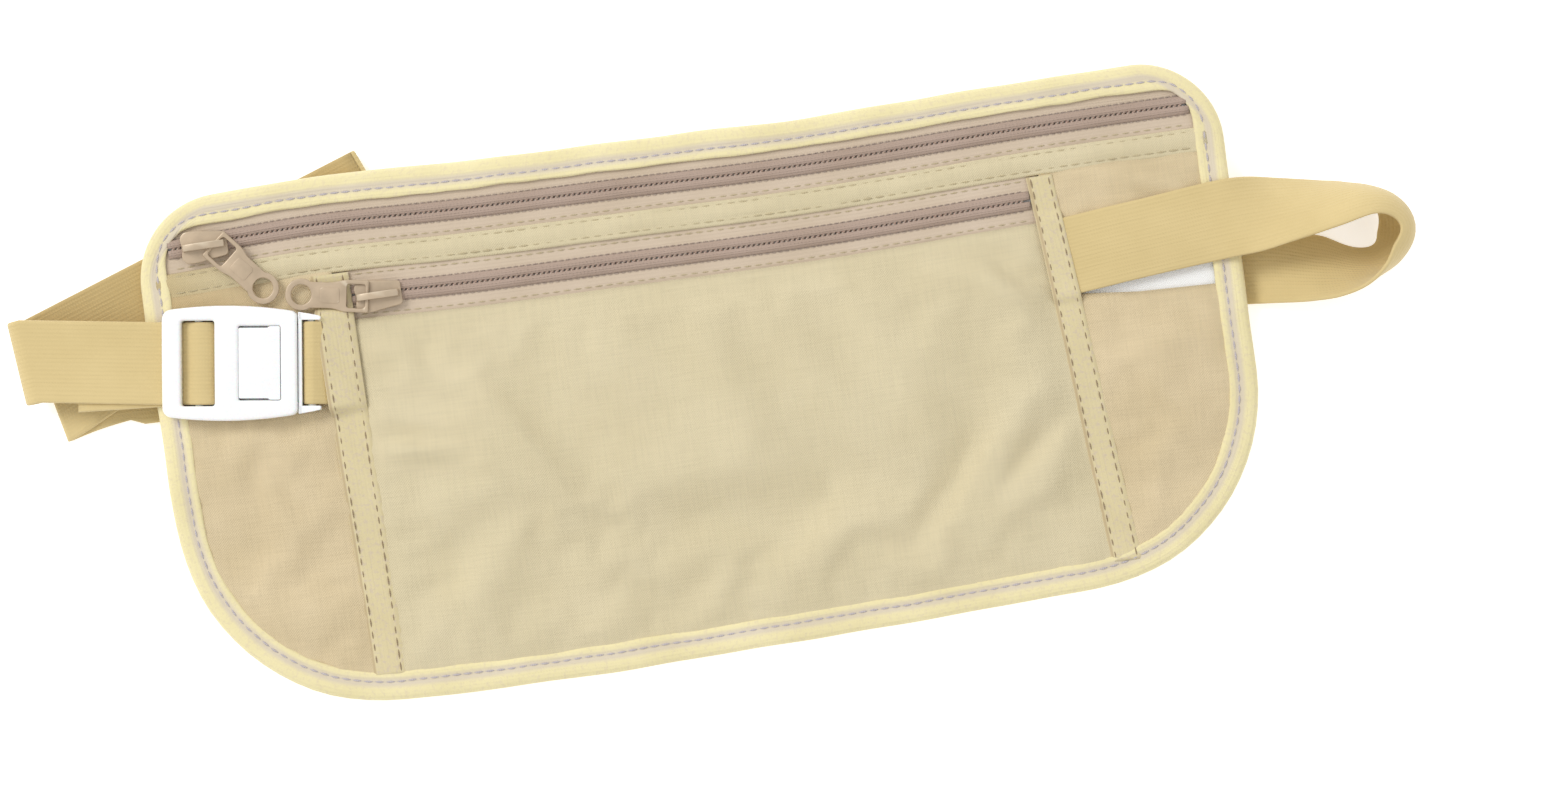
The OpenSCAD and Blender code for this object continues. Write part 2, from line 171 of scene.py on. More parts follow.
def band(name, left, right, profile, slot, material, wobble, closed=False, seed=0):
    """A flat tape between two edges. profile is a closed loop of (share across, height)."""
    left, right = np.asarray(left, float), np.asarray(right, float)
    if closed:
        left, right = np.vstack([left, left[:1]]), np.vstack([right, right[:1]])
    along = lengths_along((left + right) / 2)
    width = np.linalg.norm(right - left, axis=1)
    points, places = [], []
    for i, (a, b) in enumerate(zip(left, right)):
        for share, lift in profile:
            spot = Vector((a[0] * 0.12, a[1] * 0.12 + share * 2.0, seed + lift * 0.2))
            points.append(a + (b - a) * share + UP * lift + UP * wobble * noise.noise(spot))
            places.append((share * width[i], along[i]))
    faces = ring_faces(len(left), len(profile), not closed)
    return make_mesh(name, points, faces, "pouch", slot, material, places)


def flat_profile(low, high, n=10, soft=0.35):
    """Cross-section of a tape with softly rounded edges."""
    top = [(i / n, high) for i in range(1, n)]
    left = [(0.0, (low + high) / 2), (0.012, high - soft * (high - low))]
    right = [(0.988, high - soft * (high - low)), (1.0, (low + high) / 2)]
    return left + top + right + [(0.988, low), (0.5, low), (0.012, low)]


# The sag of the pouch's edges, as bells of (height, place, half width).
TOP_SAG = ((1.5, -88, 28), (-1.4, 30, 45))
BOTTOM_SAG = ((-1.2, -45, 40), (2.0, 88, 40))


def bells(x, rows):
    return sum(height * np.exp(-(((x - place) / half) ** 2)) for height, place, half in rows)


def warp(points):
    """The pouch's slight sag along its top and bottom edges."""
    p = np.array(points, float)
    x, y = p[..., 0], p[..., 1]
    t = np.clip((y - POUCH_LOW[1]) / (POUCH_HIGH[1] - POUCH_LOW[1]), 0, 1)
    p[..., 1] = y + bells(x, BOTTOM_SAG) * (1 - t) + bells(x, TOP_SAG) * t
    return p


def base_z(y):
    t = np.clip((np.asarray(y, float) - RAMP_LOW) / (RAMP_HIGH - RAMP_LOW), 0, 1)
    return STACK * (1 - np.cos(np.pi * t)) / 2


def on_pouch(xy, level):
    """Points on the pouch at a level above its underside."""
    xy = np.asarray(xy, float)
    z = base_z(xy[:, 1]) + level
    return warp(np.column_stack([xy, z]))


def outline(inset, top_r, bottom_r, arc_n=18, side_n=30, long_n=110):
    """The pouch's rounded outline, counter-clockwise, with matching points at every inset."""
    x0, y0 = POUCH_LOW + inset
    x1, y1 = POUCH_HIGH - inset
    corners = [
        ((x1 - top_r, y1 - top_r), top_r, 0), ((x0 + top_r, y1 - top_r), top_r, 90),
        ((x0 + bottom_r, y0 + bottom_r), bottom_r, 180), ((x1 - bottom_r, y0 + bottom_r), bottom_r, 270),
    ]
    runs = [long_n, side_n, long_n, side_n]
    arcs = []
    for (cx, cy), r, start in corners:
        a = np.radians(np.linspace(start, start + 90, arc_n))
        arcs.append(np.column_stack([cx + r * np.cos(a), cy + r * np.sin(a)]))
    points = []
    for i, arc in enumerate(arcs):
        after = arcs[(i + 1) % 4][0]
        t = np.linspace(0, 1, runs[i] + 1)[1:-1, None]
        points += [arc, arc[-1] * (1 - t) + after * t]
    return np.vstack(points)


def edge_x(y, inset, side):
    """Where the outline at an inset stands at height y, on its left (-1) or right (1) side."""
    points = outline(inset, max(TOP_R - inset, 1), BOTTOM_R - inset)
    half = points[points[:, 0] * side > 0]
    order = np.argsort(half[:, 1])
    return float(np.interp(y, half[order, 1], half[order, 0]))


def straight(x0, y0, x1, y1, level, n=60):
    """A straight line laid on the pouch."""
    t = np.linspace(0, 1, n)
    return on_pouch(np.column_stack([x0 + (x1 - x0) * t, y0 + (y1 - y0) * t]), level)


# ---------- shader helpers ----------


def srgb(r, g, b):
    """An 8-bit display colour as a linear one."""
    out = []
    for c in (r, g, b):
        c = c / 255
        out.append(c / 12.92 if c <= 0.04045 else ((c + 0.055) / 1.055) ** 2.4)
    return (*out, 1.0)


def scaled(colour, share):
    return (colour[0] * share, colour[1] * share, colour[2] * share, 1.0)


def grey(value):
    return (value, value, value, 1.0)


class Shader:
    """A short way to write a material's nodes."""

    def __init__(self, name, sockets):
        self.material = bpy.data.materials.new(name)
        self.material.use_nodes = True
        self.tree = self.material.node_tree
        self.surface = self.tree.nodes["Principled BSDF"]
        for key, value in sockets.items():
            self.surface.inputs[key].default_value = value

    def node(self, kind, inputs=None, **settings):
        made = self.tree.nodes.new(kind)
        for key, value in settings.items():
            setattr(made, key, value)
        for key, value in (inputs or {}).items():
            if isinstance(value, bpy.types.NodeSocket):
                self.tree.links.new(value, made.inputs[key])
            else:
                made.inputs[key].default_value = value
        return made

    def cloth_place(self):
        """The place on the piece's own cloth, in millimetres."""
        return self.node("ShaderNodeAttribute", attribute_name="cloth").outputs["Vector"]

    def object_place(self):
        return self.node("ShaderNodeTexCoord").outputs["Object"]

    def split(self, vector):
        return self.node("ShaderNodeSeparateXYZ", {0: vector}).outputs

    def math(self, operation, *values):
        return self.node("ShaderNodeMath", dict(enumerate(values)), operation=operation).outputs[0]

    def stretch(self, vector, scale):
        return self.node("ShaderNodeMapping", {"Vector": vector, "Scale": scale}).outputs[0]

    def noise(self, vector, scale, detail=2.0, rough=0.5):
        inputs = {"Vector": vector, "Scale": scale, "Detail": detail, "Roughness": rough}
        return self.node("ShaderNodeTexNoise", inputs).outputs["Fac"]

    def wave(self, coordinate, period):
        """A sine of the given period along one coordinate, from -1 to 1."""
        return self.math("SINE", self.math("MULTIPLY", coordinate, 2 * math.pi / period))

    def ramp(self, factor, stops):
        made = self.node("ShaderNodeValToRGB", {"Fac": factor})
        elements = made.color_ramp.elements
        while len(elements) < len(stops):
            elements.new(0.5)
        for element, (place, colour) in zip(elements, stops):
            element.position = place
            element.color = colour
        return made.outputs["Color"]

    def mix(self, factor, a, b, blend="MIX"):
        inputs = {0: factor, 6: a, 7: b}
        return self.node("ShaderNodeMix", inputs, data_type="RGBA", blend_type=blend).outputs[2]

    def to(self, socket, value):
        self.tree.links.new(value, self.surface.inputs[socket])

    def bump(self, layers):
        """Chains bumps of (height, depth in millimetres)."""
        normal = None
        for height, depth in layers:
            inputs = {"Height": height, "Strength": 1.0, "Distance": depth * MM}
            if normal is not None:
                inputs["Normal"] = normal
            normal = self.node("ShaderNodeBump", inputs).outputs["Normal"]
        self.to("Normal", normal)


# ---------- materials ----------

THREAD_PITCH = 0.62
FINE_CLOTH = {"Roughness": 0.78, "Sheen Weight": 0.18, "Sheen Roughness": 0.5, "Specular IOR Level": 0.3}
NARROW_TAPE = {"Roughness": 0.82, "Sheen Weight": 0.22, "Sheen Roughness": 0.5, "Specular IOR Level": 0.25}
MOULDED = {"IOR": 1.49, "Coat Weight": 0.15, "Coat Roughness": 0.2, "Subsurface Weight": 0.12,
           "Subsurface Scale": 0.002}


def woven(name, colour, slub=0.045, mottle=0.06, browner_start=None):
    """Fine plain-weave cloth: crossing threads, uneven slub yarns and a faint mottle.

    The last argument, when given, is the (axis, start, end, colour) of a stretch that is browner at its
    start."""
    s = Shader(name, FINE_CLOTH)
    place = s.cloth_place()
    x, y, _ = s.split(place)
    weave = s.math("MULTIPLY", s.wave(x, THREAD_PITCH), s.wave(y, THREAD_PITCH))
    slub_x = s.noise(s.stretch(place, (0.10, 1.7, 1)), 1.0, 3.0)
    slub_y = s.noise(s.stretch(place, (1.7, 0.10, 1)), 1.0, 3.0)
    slubs = s.math("ADD", slub_x, slub_y)
    cloud = s.noise(place, 0.035, 3.0, 0.55)
    tone = s.ramp(s.math("MULTIPLY", slubs, 0.5), [
        (0.36, scaled(colour, 1 - slub)), (0.5, colour), (0.64, scaled(colour, 1 + slub * 0.6))])
    patch = s.ramp(cloud, [(0.35, (1 - mottle, 1 - mottle * 1.1, 1 - mottle * 1.5, 1)), (0.65, grey(1))])
    if browner_start:
        axis, start, end, brown = browner_start
        share = s.math("DIVIDE", s.math("SUBTRACT", (x, y)[axis], start), end - start)
        patch = s.mix(1.0, patch, s.ramp(share, [(0.0, (*brown, 1)), (1.0, grey(1))]), "MULTIPLY")
    s.to("Base Color", s.mix(1.0, tone, patch, "MULTIPLY"))
    s.to("Roughness", s.math("MULTIPLY_ADD", slubs, 0.1, 0.68))
    s.bump([(weave, 0.05), (slubs, 0.07)])
    return s.material


def ribbed(name, colour, edge, pitch, depth, contrast, cross=0.7, seam_and_shade_line=None, fleck=None):
    """Narrow woven tape: lengthwise ribs crossed by fine picks.

    A line given as (place, half width, colour) is darker along the tape: on the binding it marks a sewn
    line, on the seam tape it is painted shade along its left edge. fleck is the colour of the thread that
    shows here and there between the picks."""
    s = Shader(name, NARROW_TAPE)
    place = s.cloth_place()
    x, y, _ = s.split(place)
    rib = s.wave(x, pitch)
    pick = s.wave(s.math("ADD", y, s.math("MULTIPLY", rib, 0.12)), cross)
    yarn = s.noise(s.stretch(place, (2.4, 0.06, 1)), 1.0, 3.0)
    cloud = s.noise(place, 0.05, 3.0)
    tone = s.ramp(s.math("MULTIPLY_ADD", rib, 0.22, 0.5), [
        (0.2, scaled(colour, 1 - contrast)), (0.8, scaled(colour, 1 + contrast * 0.35))])
    tone = s.mix(s.math("MULTIPLY", yarn, 0.35), tone, edge)
    if fleck:
        spots = s.ramp(s.noise(place, 0.9, 2.0, 0.7), [(0.5, grey(0)), (0.66, grey(1))])
        tone = s.mix(s.math("MULTIPLY", spots, 0.65), tone, fleck)
    # A darker line along the tape: on the binding its sewn line, on the seam tape painted shade at its left
    # edge.
    if seam_and_shade_line:
        off = s.math("ABSOLUTE", s.math("SUBTRACT", x, seam_and_shade_line[0]))
        near = s.ramp(s.math("DIVIDE", off, seam_and_shade_line[1] * 2), [(0.35, grey(1)), (1.0, grey(0))])
        tone = s.mix(s.math("MULTIPLY", near, 0.85), tone, seam_and_shade_line[2])
    patch = s.ramp(cloud, [(0.3, (0.93, 0.92, 0.88, 1)), (0.7, grey(1.02))])
    s.to("Base Color", s.mix(1.0, tone, patch, "MULTIPLY"))
    s.bump([(rib, depth), (pick, depth * 0.6), (yarn, 0.1)])
    return s.material


def plastic(name, colour, rough=0.28):
    """Moulded plastic with a faint flow texture."""
    s = Shader(name, MOULDED)
    place = s.object_place()
    grain = s.noise(place, 900.0, 2.0)
    flow = s.noise(s.stretch(place, (60, 220, 60)), 1.0, 2.0)
    s.to("Base Color", s.ramp(flow, [(0.3, scaled(colour, 0.975)), (0.7, colour)]))
    s.to("Roughness", s.ramp(grain, [(0.3, grey(rough - 0.06)), (0.7, grey(rough + 0.08))]))
    s.bump([(grain, 0.012), (flow, 0.05)])
    return s.material


def painted(name, colour, worn):
    """Painted zinc: satin paint, rubbed through a little along its edges."""
    s = Shader(name, {"Metallic": 0.35, "Coat Weight": 0.3, "Coat Roughness": 0.25})
    place = s.object_place()
    speck = s.noise(place, 1400.0, 3.0)
    cloud = s.noise(place, 220.0, 3.0)
    edge = s.node("ShaderNodeNewGeometry").outputs["Pointiness"]
    rub = s.ramp(edge, [(0.52, grey(0)), (0.62, grey(1))])
    tone = s.ramp(cloud, [(0.3, scaled(colour, 0.86)), (0.7, scaled(colour, 1.06))])
    s.to("Base Color", s.mix(s.math("MULTIPLY", rub, 0.6), tone, worn))
    s.to("Roughness", s.ramp(speck, [(0.3, grey(0.32)), (0.7, grey(0.5))]))
    s.bump([(speck, 0.02)])
    return s.material


def twisted(name, colour):
    """Sewing thread: a tight twist along each stitch."""
    s = Shader(name, {"Roughness": 0.7, "Sheen Weight": 0.3})
    x, y, _ = s.split(s.cloth_place())
    ply = s.wave(s.math("ADD", s.math("MULTIPLY", x, 0.5), y), 0.5)
    tone = s.ramp(s.math("MULTIPLY_ADD", ply, 0.5, 0.5), [(0.1, scaled(colour, 0.78)), (0.7, colour)])
    s.to("Base Color", tone)
    s.bump([(ply, 0.05)])
    return s.material


SAND, WING_TAN = srgb(219, 206, 171), srgb(220, 201, 164)
# The mid band and the upper left wing turn browner towards their left ends.
BROWNED = (0.8, 0.73, 0.6)
PANEL = woven("panel_nylon", SAND)
MID_BAND = woven("mid_band_nylon", SAND, browner_start=(1, 0, 27, BROWNED))
WING = woven("wing_nylon", WING_TAN, slub=0.05, mottle=0.1)
CORNER_WING = woven("corner_wing_nylon", WING_TAN, slub=0.05, mottle=0.1, browner_start=(0, -130, -96, BROWNED))
BACK = woven("back_nylon", srgb(214, 199, 163), slub=0.06, mottle=0.08)
LINING = woven("lining_white", srgb(252, 252, 251), slub=0.02, mottle=0.01)
BINDING = ribbed("binding_tape", srgb(237, 225, 178), srgb(238, 228, 178), 0.9, 0.015, 0.01,
                 seam_and_shade_line=(4.4, 0.8, srgb(216, 204, 186)), fleck=srgb(226, 212, 178))
# The seam tape's darker line at its left edge is painted shade.
TAPE = ribbed("seam_tape", srgb(217, 203, 163), srgb(224, 211, 163), 1.0, 0.012, 0.012,
              seam_and_shade_line=(0.5, 0.25, srgb(190, 170, 134)), fleck=srgb(206, 190, 172))
ZIP_TAPE = ribbed("zip_tape", srgb(208, 190, 169), srgb(213, 196, 176), 0.9, 0.02, 0.02)
ZIP_RIDGE = ribbed("zip_ridge", srgb(179, 157, 143), srgb(193, 172, 158), 0.55, 0.05, 0.08, cross=0.9)
WEBBING = ribbed("elastic_webbing", srgb(215, 193, 140), srgb(220, 200, 148), 1.0, 0.02, 0.025)
# The crossing pass shows the webbing's reverse face, in a darker copy of the webbing that is painted shade.
SHADED_REVERSE = ribbed("elastic_webbing_reverse_painted_shade", srgb(194, 169, 117), srgb(200, 178, 128), 1.0, 0.02, 0.025)
COIL = plastic("zip_coil", srgb(168, 145, 130), 0.4)
BUCKLE = plastic("buckle_white", srgb(250, 250, 250))
METAL = painted("slider_paint", srgb(192, 171, 144), srgb(222, 208, 184))
COIL_CORD = twisted("coil_thread", srgb(196, 176, 160))
THREAD = twisted("sand_thread", srgb(206, 190, 150))
LILAC = twisted("lilac_thread", srgb(206, 197, 198))
BROWN = twisted("brown_thread", srgb(162, 139, 106))


# ---------- stage, light and camera ----------

VIEW_CENTRE = (18.67, -5.38, 7.0)
VIEW_WIDTH = 378.9
VIEW_TURN = -8.2
SENSOR, LENS = 36.0, 100.0
# In metres, as the stage and the light are.
TABLE_HALF, TABLE_TOP, TABLE_GLOW = 3.0, -0.0004, 0.4
WORLD_LIGHT = 0.82
KEY_AT, KEY_SIZE, KEY_POWER = (-1.8, 1.7, 2.4), 1.5, 48.0


def make_stage():
    mesh = bpy.data.meshes.new("table")
    corners = rectangle(-TABLE_HALF, -TABLE_HALF, TABLE_HALF, TABLE_HALF)
    mesh.from_pydata([(x, y, 0) for x, y in corners], [], [(0, 1, 2, 3)])
    floor = bpy.data.objects.new("table", mesh)
    floor.location.z = TABLE_TOP
    bpy.context.scene.collection.objects.link(floor)
    s = Shader("table_white", {"Roughness": 0.9, "Specular IOR Level": 0.1, "Emission Color": grey(1),
                               "Emission Strength": TABLE_GLOW})
    grain = s.noise(s.object_place(), 40.0, 3.0)
    s.to("Base Color", s.ramp(grain, [(0.3, srgb(252, 252, 252)), (0.7, srgb(254, 254, 254))]))
    mesh.materials.append(s.material)


def make_light():
    world = bpy.data.worlds.new("studio")
    world.use_nodes = True
    background = world.node_tree.nodes["Background"].inputs
    background["Color"].default_value = grey(1)
    background["Strength"].default_value = WORLD_LIGHT
    bpy.context.scene.world = world
    key = bpy.data.lights.new("key", "AREA")
    key.shape = "DISK"
    key.size = KEY_SIZE
    key.energy = KEY_POWER
    obj = bpy.data.objects.new("key", key)
    obj.location = KEY_AT
    obj.rotation_euler = (-Vector(KEY_AT)).to_track_quat("-Z", "Y").to_euler()
    bpy.context.scene.collection.objects.link(obj)
    bpy.context.scene.view_settings.view_transform = "Standard"


def make_camera():
    data = bpy.data.cameras.new("camera")
    data.sensor_width = SENSOR
    data.lens = LENS
    data.clip_start, data.clip_end = 0.05, 20
    camera = bpy.data.objects.new("camera", data)
    centre = (np.array(VIEW_CENTRE) + ORIGIN) * MM
    camera.location = (centre[0], centre[1], centre[2] + VIEW_WIDTH * MM * LENS / SENSOR)
    camera.rotation_euler = (0, 0, math.radians(VIEW_TURN))
    bpy.context.scene.collection.objects.link(camera)
    bpy.context.scene.camera = camera


make_stage()
make_light()
make_camera()


# ---------- cloth panels ----------

FOLDS = [
    # x0, y0, x1, y1, half width, height: soft creases that the sewing leaves in the cloth
    (-84, -2.5, -60, -6.5, 2.0, 0.9), (-62, 16, -34, -26, 6, 0.95), (48, -52, 82, -12, 4.5, 1.0),
    (60, -48, 96, -20, 4, 1.0), (58, 26, 90, 2, 3.5, 0.95), (-20, 24, 30, 20, 8, 0.4),
    (-78, 22, -60, 8, 4, 0.6), (10, -52, 40, -30, 6, 0.4), (-70, -50, -50, -30, 6, 0.6),
    (96, 38, 122, 33.5, 2.0, 0.7), (100, 40, 124, 30, 1.8, 0.5), (104, -8, 124, -30, 4, 0.7),
    (-122, -12, -112, -24, 3, 0.8), (-120, -34, -98, -44, 5, 0.7), (100, -36, 118, -28, 4, 0.5),
    (-118, 4, -92, -2, 4, 0.5),
]


def fold_height(x, y):
    """The creases' height: each is a ridge with a shallow valley beside it, fading to its ends."""
    total = np.zeros_like(x)
    for x0, y0, x1, y1, half, height in FOLDS:
        d = np.array([x1 - x0, y1 - y0])
        t = ((x - x0) * d[0] + (y - y0) * d[1]) / (d @ d)
        off = ((x - x0) * -d[1] + (y - y0) * d[0]) / np.linalg.norm(d)
        ends = np.clip(1 - np.abs(t - 0.5) * 1.7, 0, 1)
        total += ends * bells(off, ((height, 0, half), (-0.6 * height, 1.5 * half, half)))
    return total


def inside(point, polygon):
    x, y = point
    hit = False
    for (x0, y0), (x1, y1) in zip(polygon, np.roll(polygon, -1, axis=0)):
        if (y0 > y) != (y1 > y) and x < (x1 - x0) * (y - y0) / (y1 - y0) + x0:
            hit = not hit
    return hit


def edge_distance(points, polygon):
    best = np.full(len(points), 1e9)
    for a, b in zip(polygon, np.roll(polygon, -1, axis=0)):
        d = b - a
        t = np.clip(((points - a) @ d) / max(d @ d, 1e-9), 0, 1)
        best = np.minimum(best, np.linalg.norm(points - a - t[:, None] * d, axis=1))
    return best


def resample(polygon, step):
    out = []
    for a, b in zip(polygon, np.roll(polygon, -1, axis=0)):
        n = max(1, int(round(np.linalg.norm(b - a) / step)))
        out += [a + (b - a) * i / n for i in range(n)]
    return np.array(out)


ROW_SHARE = 0.866


def triangulate(polygon, step):
    """Even triangles inside a polygon, with every border point kept."""
    border = resample(np.asarray(polygon, float), step)
    low, high = border.min(0), border.max(0)
    grid = []
    for j in range(1, int((high[1] - low[1]) / (step * ROW_SHARE)) + 1):
        y = low[1] + j * step * ROW_SHARE
        for i in range(int((high[0] - low[0]) / step) + 1):
            grid.append((low[0] + (i + 0.5 * (j % 2)) * step, y))
    grid = np.array(grid)
    clear = edge_distance(grid, border) > step * 0.6
    kept = [p for p, ok in zip(grid, clear) if ok and inside(p, border)]
    points = [Vector(p) for p in border] + [Vector(p) for p in kept]
    edges = [(i, (i + 1) % len(border)) for i in range(len(border))]
    made = geometry.delaunay_2d_cdt(points, edges, [], 1, 1e-6)
    return np.array([tuple(p) for p in made[0]]), [tuple(f) for f in made[2]], border


SIM_SCALE, SIM_FRAMES = 0.01, 36
CLOTH_RULES = {"quality": 6, "mass": 0.25, "tension_stiffness": 18, "compression_stiffness": 18,
               "shear_stiffness": 6, "bending_stiffness": 2.5, "air_damping": 2.5, "use_pressure": True}
# What the binding and the tapes cover of a panel is held, and the cloth rises only past it.
OVERLAP = 4.2
MOST_SHIFT, MOST_SINK, EDGE_ROOM, ROOM_SLOPE = 1.0, 0.25, 0.3, 0.45


def settled(points, faces, pinned, slack, pressure):
    """Points of a sheet after a short cloth simulation that holds the pinned ones."""
    mesh = bpy.data.meshes.new("settling")
    mesh.from_pydata((np.asarray(points) * SIM_SCALE).tolist(), [], faces)
    obj = bpy.data.objects.new("settling", mesh)
    bpy.context.scene.collection.objects.link(obj)
    obj.vertex_groups.new(name="sewn").add([int(i) for i in np.flatnonzero(pinned)], 1.0, "REPLACE")
    cloth = obj.modifiers.new("cloth", "CLOTH")
    for key, value in CLOTH_RULES.items():
        setattr(cloth.settings, key, value)
    cloth.settings.vertex_group_mass = "sewn"
    cloth.settings.shrink_min = -slack
    cloth.settings.uniform_pressure_force = pressure
    cloth.settings.effector_weights.gravity = 0
    cloth.collision_settings.use_collision = False
    cloth.point_cache.frame_end = SIM_FRAMES
    for number in range(1, SIM_FRAMES + 1):
        bpy.context.scene.frame_set(number)
    done = obj.evaluated_get(bpy.context.evaluated_depsgraph_get()).data
    result = np.array([v.co[:] for v in done.vertices]) / SIM_SCALE
    bpy.data.objects.remove(obj)
    bpy.context.scene.frame_set(1)
    return result


def cloth_panel(name, node, polygon, slot, material, held="stretched", rests_on=("edge_binding",),
                level=PANEL_LEVEL, crown=0.0, reach=16.0, step=2.0, thick=0.3, folds=1.0, rough=0.25,
                slack=0.0, pressure=0.0, limit=4.0):
    """A sewn-in sheet of cloth: flat round its edge, crowned and creased inside."""
    flat, faces, border = triangulate(polygon, step)
    far = edge_distance(flat, border)
    near = np.clip(far / 6, 0, 1)
    small, fine = noise_at(flat, 0.07, 3.0), noise_at(flat, 0.22, 7.0)
    lift = crown * (1 - np.exp(-far / reach))
    lift = lift + near * (folds * fold_height(*flat.T) + rough * 2.2 * small + rough * 0.5 * fine)
    laid = flat
    if slack:
        moved = settled(np.column_stack([flat, lift]), faces, far < OVERLAP, slack, pressure)
        laid = flat + np.clip(moved[:, :2] - flat, -MOST_SHIFT, MOST_SHIFT)
        lift = moved[:, 2]
    room = EDGE_ROOM + ROOM_SLOPE * np.maximum(far - OVERLAP, 0)
    points = on_pouch(laid, level)
    points[:, 2] += np.clip(lift, -MOST_SINK, np.minimum(room, limit))
    obj = make_mesh(name, points, faces, "pouch", slot, material, flat)
    if sum(p.normal.z * p.area for p in obj.data.polygons) < 0:
        obj.data.flip_normals()
    solid = obj.modifiers.new("thickness", "SOLIDIFY")
    solid.thickness = thick * MM
    solid.offset = -1
    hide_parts(node)
    polygon = np.asarray(polygon)


def right_seam(y, share):
    """A place across the right seam tape: share 0 is its left edge and 1 its right edge."""
    t = (RIGHT_TAPE_Y[0] - y) / (RIGHT_TAPE_Y[0] - RIGHT_TAPE_Y[1])
    top, low = [left + (right - left) * share for left, right in RIGHT_TAPE]
    return top + (low - top) * t


def side_run(side, y0, y1, n=40):
    """The outline tucked inside the binding, from y0 to y1, on one side."""
    return [(edge_x(y, TUCK, side), y) for y in np.linspace(y0, y1, n)]


LEFT_JOIN = LEFT_TAPE_X[0] + 3.5
LEFT_CUT_Y, LEFT_LAP_Y = 12.6, 14.0
RIGHT_CUT = ((108, 7.7), (edge_x(7.2, TUCK, 1), 7.2))
RIGHT_CUT_Y, RIGHT_SIDE_Y, RIGHT_LAP_Y = 9.4, 6.5, 13.5
LOWER_WING = {"crown": 0.8, "reach": 9, "slack": 0.014, "pressure": 0.1, "limit": 2.0}


def right_join(y):
    """A point of the join under the middle of the right seam tape."""
    return right_seam(y, 0.5), y


def make_panels():
    low = POUCH_LOW[1] + TUCK
    hem, top = low + 0.4, BAND_Y[0] + 1
    pocket = [(LEFT_JOIN, POCKET_TOP), (LEFT_JOIN, low + 1.0), (-80, low)]
    pocket += [right_join(low), right_join(POCKET_TOP)]
    cloth_panel("front_pocket_cloth", "front_pocket_panel", pocket, "panel_cloth", PANEL, crown=2.0, reach=14,
                folds=3.0, slack=0.012, pressure=0.12)
    wing = [(LEFT_JOIN, LEFT_CUT_Y), *side_run(-1, LEFT_CUT_Y, hem), (LEFT_JOIN, hem)]
    cloth_panel("left_wing_cloth", "left_wing_lower", wing, "wing_cloth", WING, **LOWER_WING)
    wing = [(LEFT_JOIN, top), *side_run(-1, top, LEFT_LAP_Y, 12), (LEFT_JOIN, LEFT_LAP_Y)]
    cloth_panel("left_wing_upper_cloth", "left_wing_upper", wing, "wing_cloth", CORNER_WING, crown=0.3,
                reach=9)
    wing = [right_join(RIGHT_CUT_Y), *RIGHT_CUT, *side_run(1, RIGHT_SIDE_Y, hem), right_join(hem)]
    cloth_panel("right_wing_cloth", "right_wing_lower", wing, "wing_cloth", WING, **LOWER_WING)
    wing = [right_join(top), right_join(RIGHT_LAP_Y), *side_run(1, RIGHT_LAP_Y, top, 12)]
    cloth_panel("right_wing_upper_cloth", "right_wing_upper", wing, "wing_cloth", WING, crown=0.3, reach=7,
                slack=0.012, pressure=0.05, limit=1.2)
    whole = outline(TUCK, TOP_R - TUCK, BOTTOM_R - TUCK)[::4]
    cloth_panel("lining_cloth", "lining_panel", whole, "lining_cloth", LINING, "laid", ["back_cloth"],
                level=LINING_LEVEL, step=4.0, folds=0.0, rough=0.0, thick=0.25)
    cloth_panel("back_cloth", "back_panel", whole, "panel_cloth", BACK, "laid", [],
                level=BACK_LEVEL, step=3.0, folds=0.0, rough=0.12, thick=0.4)


# ---------- binding, tapes and stitches ----------

BINDING_PROFILE = [
    (1.0, 3.12), (0.985, 3.46), (0.93, 3.64), (0.85, 3.7), (0.77, 3.62), (0.66, 3.38), (0.55, 3.6),
    (0.42, 3.76), (0.25, 3.74), (0.11, 3.5), (0.035, 2.95), (0.0, 2.2), (0.0, 1.4), (0.035, 0.6),
    (0.13, 0.12), (0.3, 0.02), (0.5, 0.2), (0.7, 0.02), (0.94, 0.04), (1.0, 0.4), (0.98, 0.56),
    (0.5, 0.56), (0.18, 0.65), (0.09, 1.2), (0.08, 2.3), (0.17, 3.02), (0.5, 3.05), (0.97, 3.05),
]
BINDING_SEAMS = (("binding_stitches_front", 0.66, 3.44), ("binding_stitches_back", 0.5, 0.14))


def make_binding():
    outer = on_pouch(outline(0.0, TOP_R, BOTTOM_R), 0)
    inner = on_pouch(outline(BINDING_W, WINDOW_R, BOTTOM_R - BINDING_W), 0)
    for i, p in enumerate(outer):
        q = Vector((p[0] * 0.05, p[1] * 0.05, 11.0))
        pull = noise.noise(q) * 0.45
        outer[i, :2] += (inner[i, :2] - p[:2]) / BINDING_W * pull
        inner[i, :2] += (inner[i, :2] - p[:2]) / BINDING_W * 0.35 * noise.noise(q * 3)
    binding = band("binding", outer, inner, BINDING_PROFILE, "binding", BINDING, 0.12, closed=True)
    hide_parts("edge_binding")
    for name, share, lift in BINDING_SEAMS:
        seam = outer + (inner - outer) * share
        stitches(name, np.vstack([seam, seam[:1]]) + UP * lift, LILAC, "binding", 2.7, 2.2, 0.27)


STITCH_RINGS, STITCH_SIDES = 5, 6


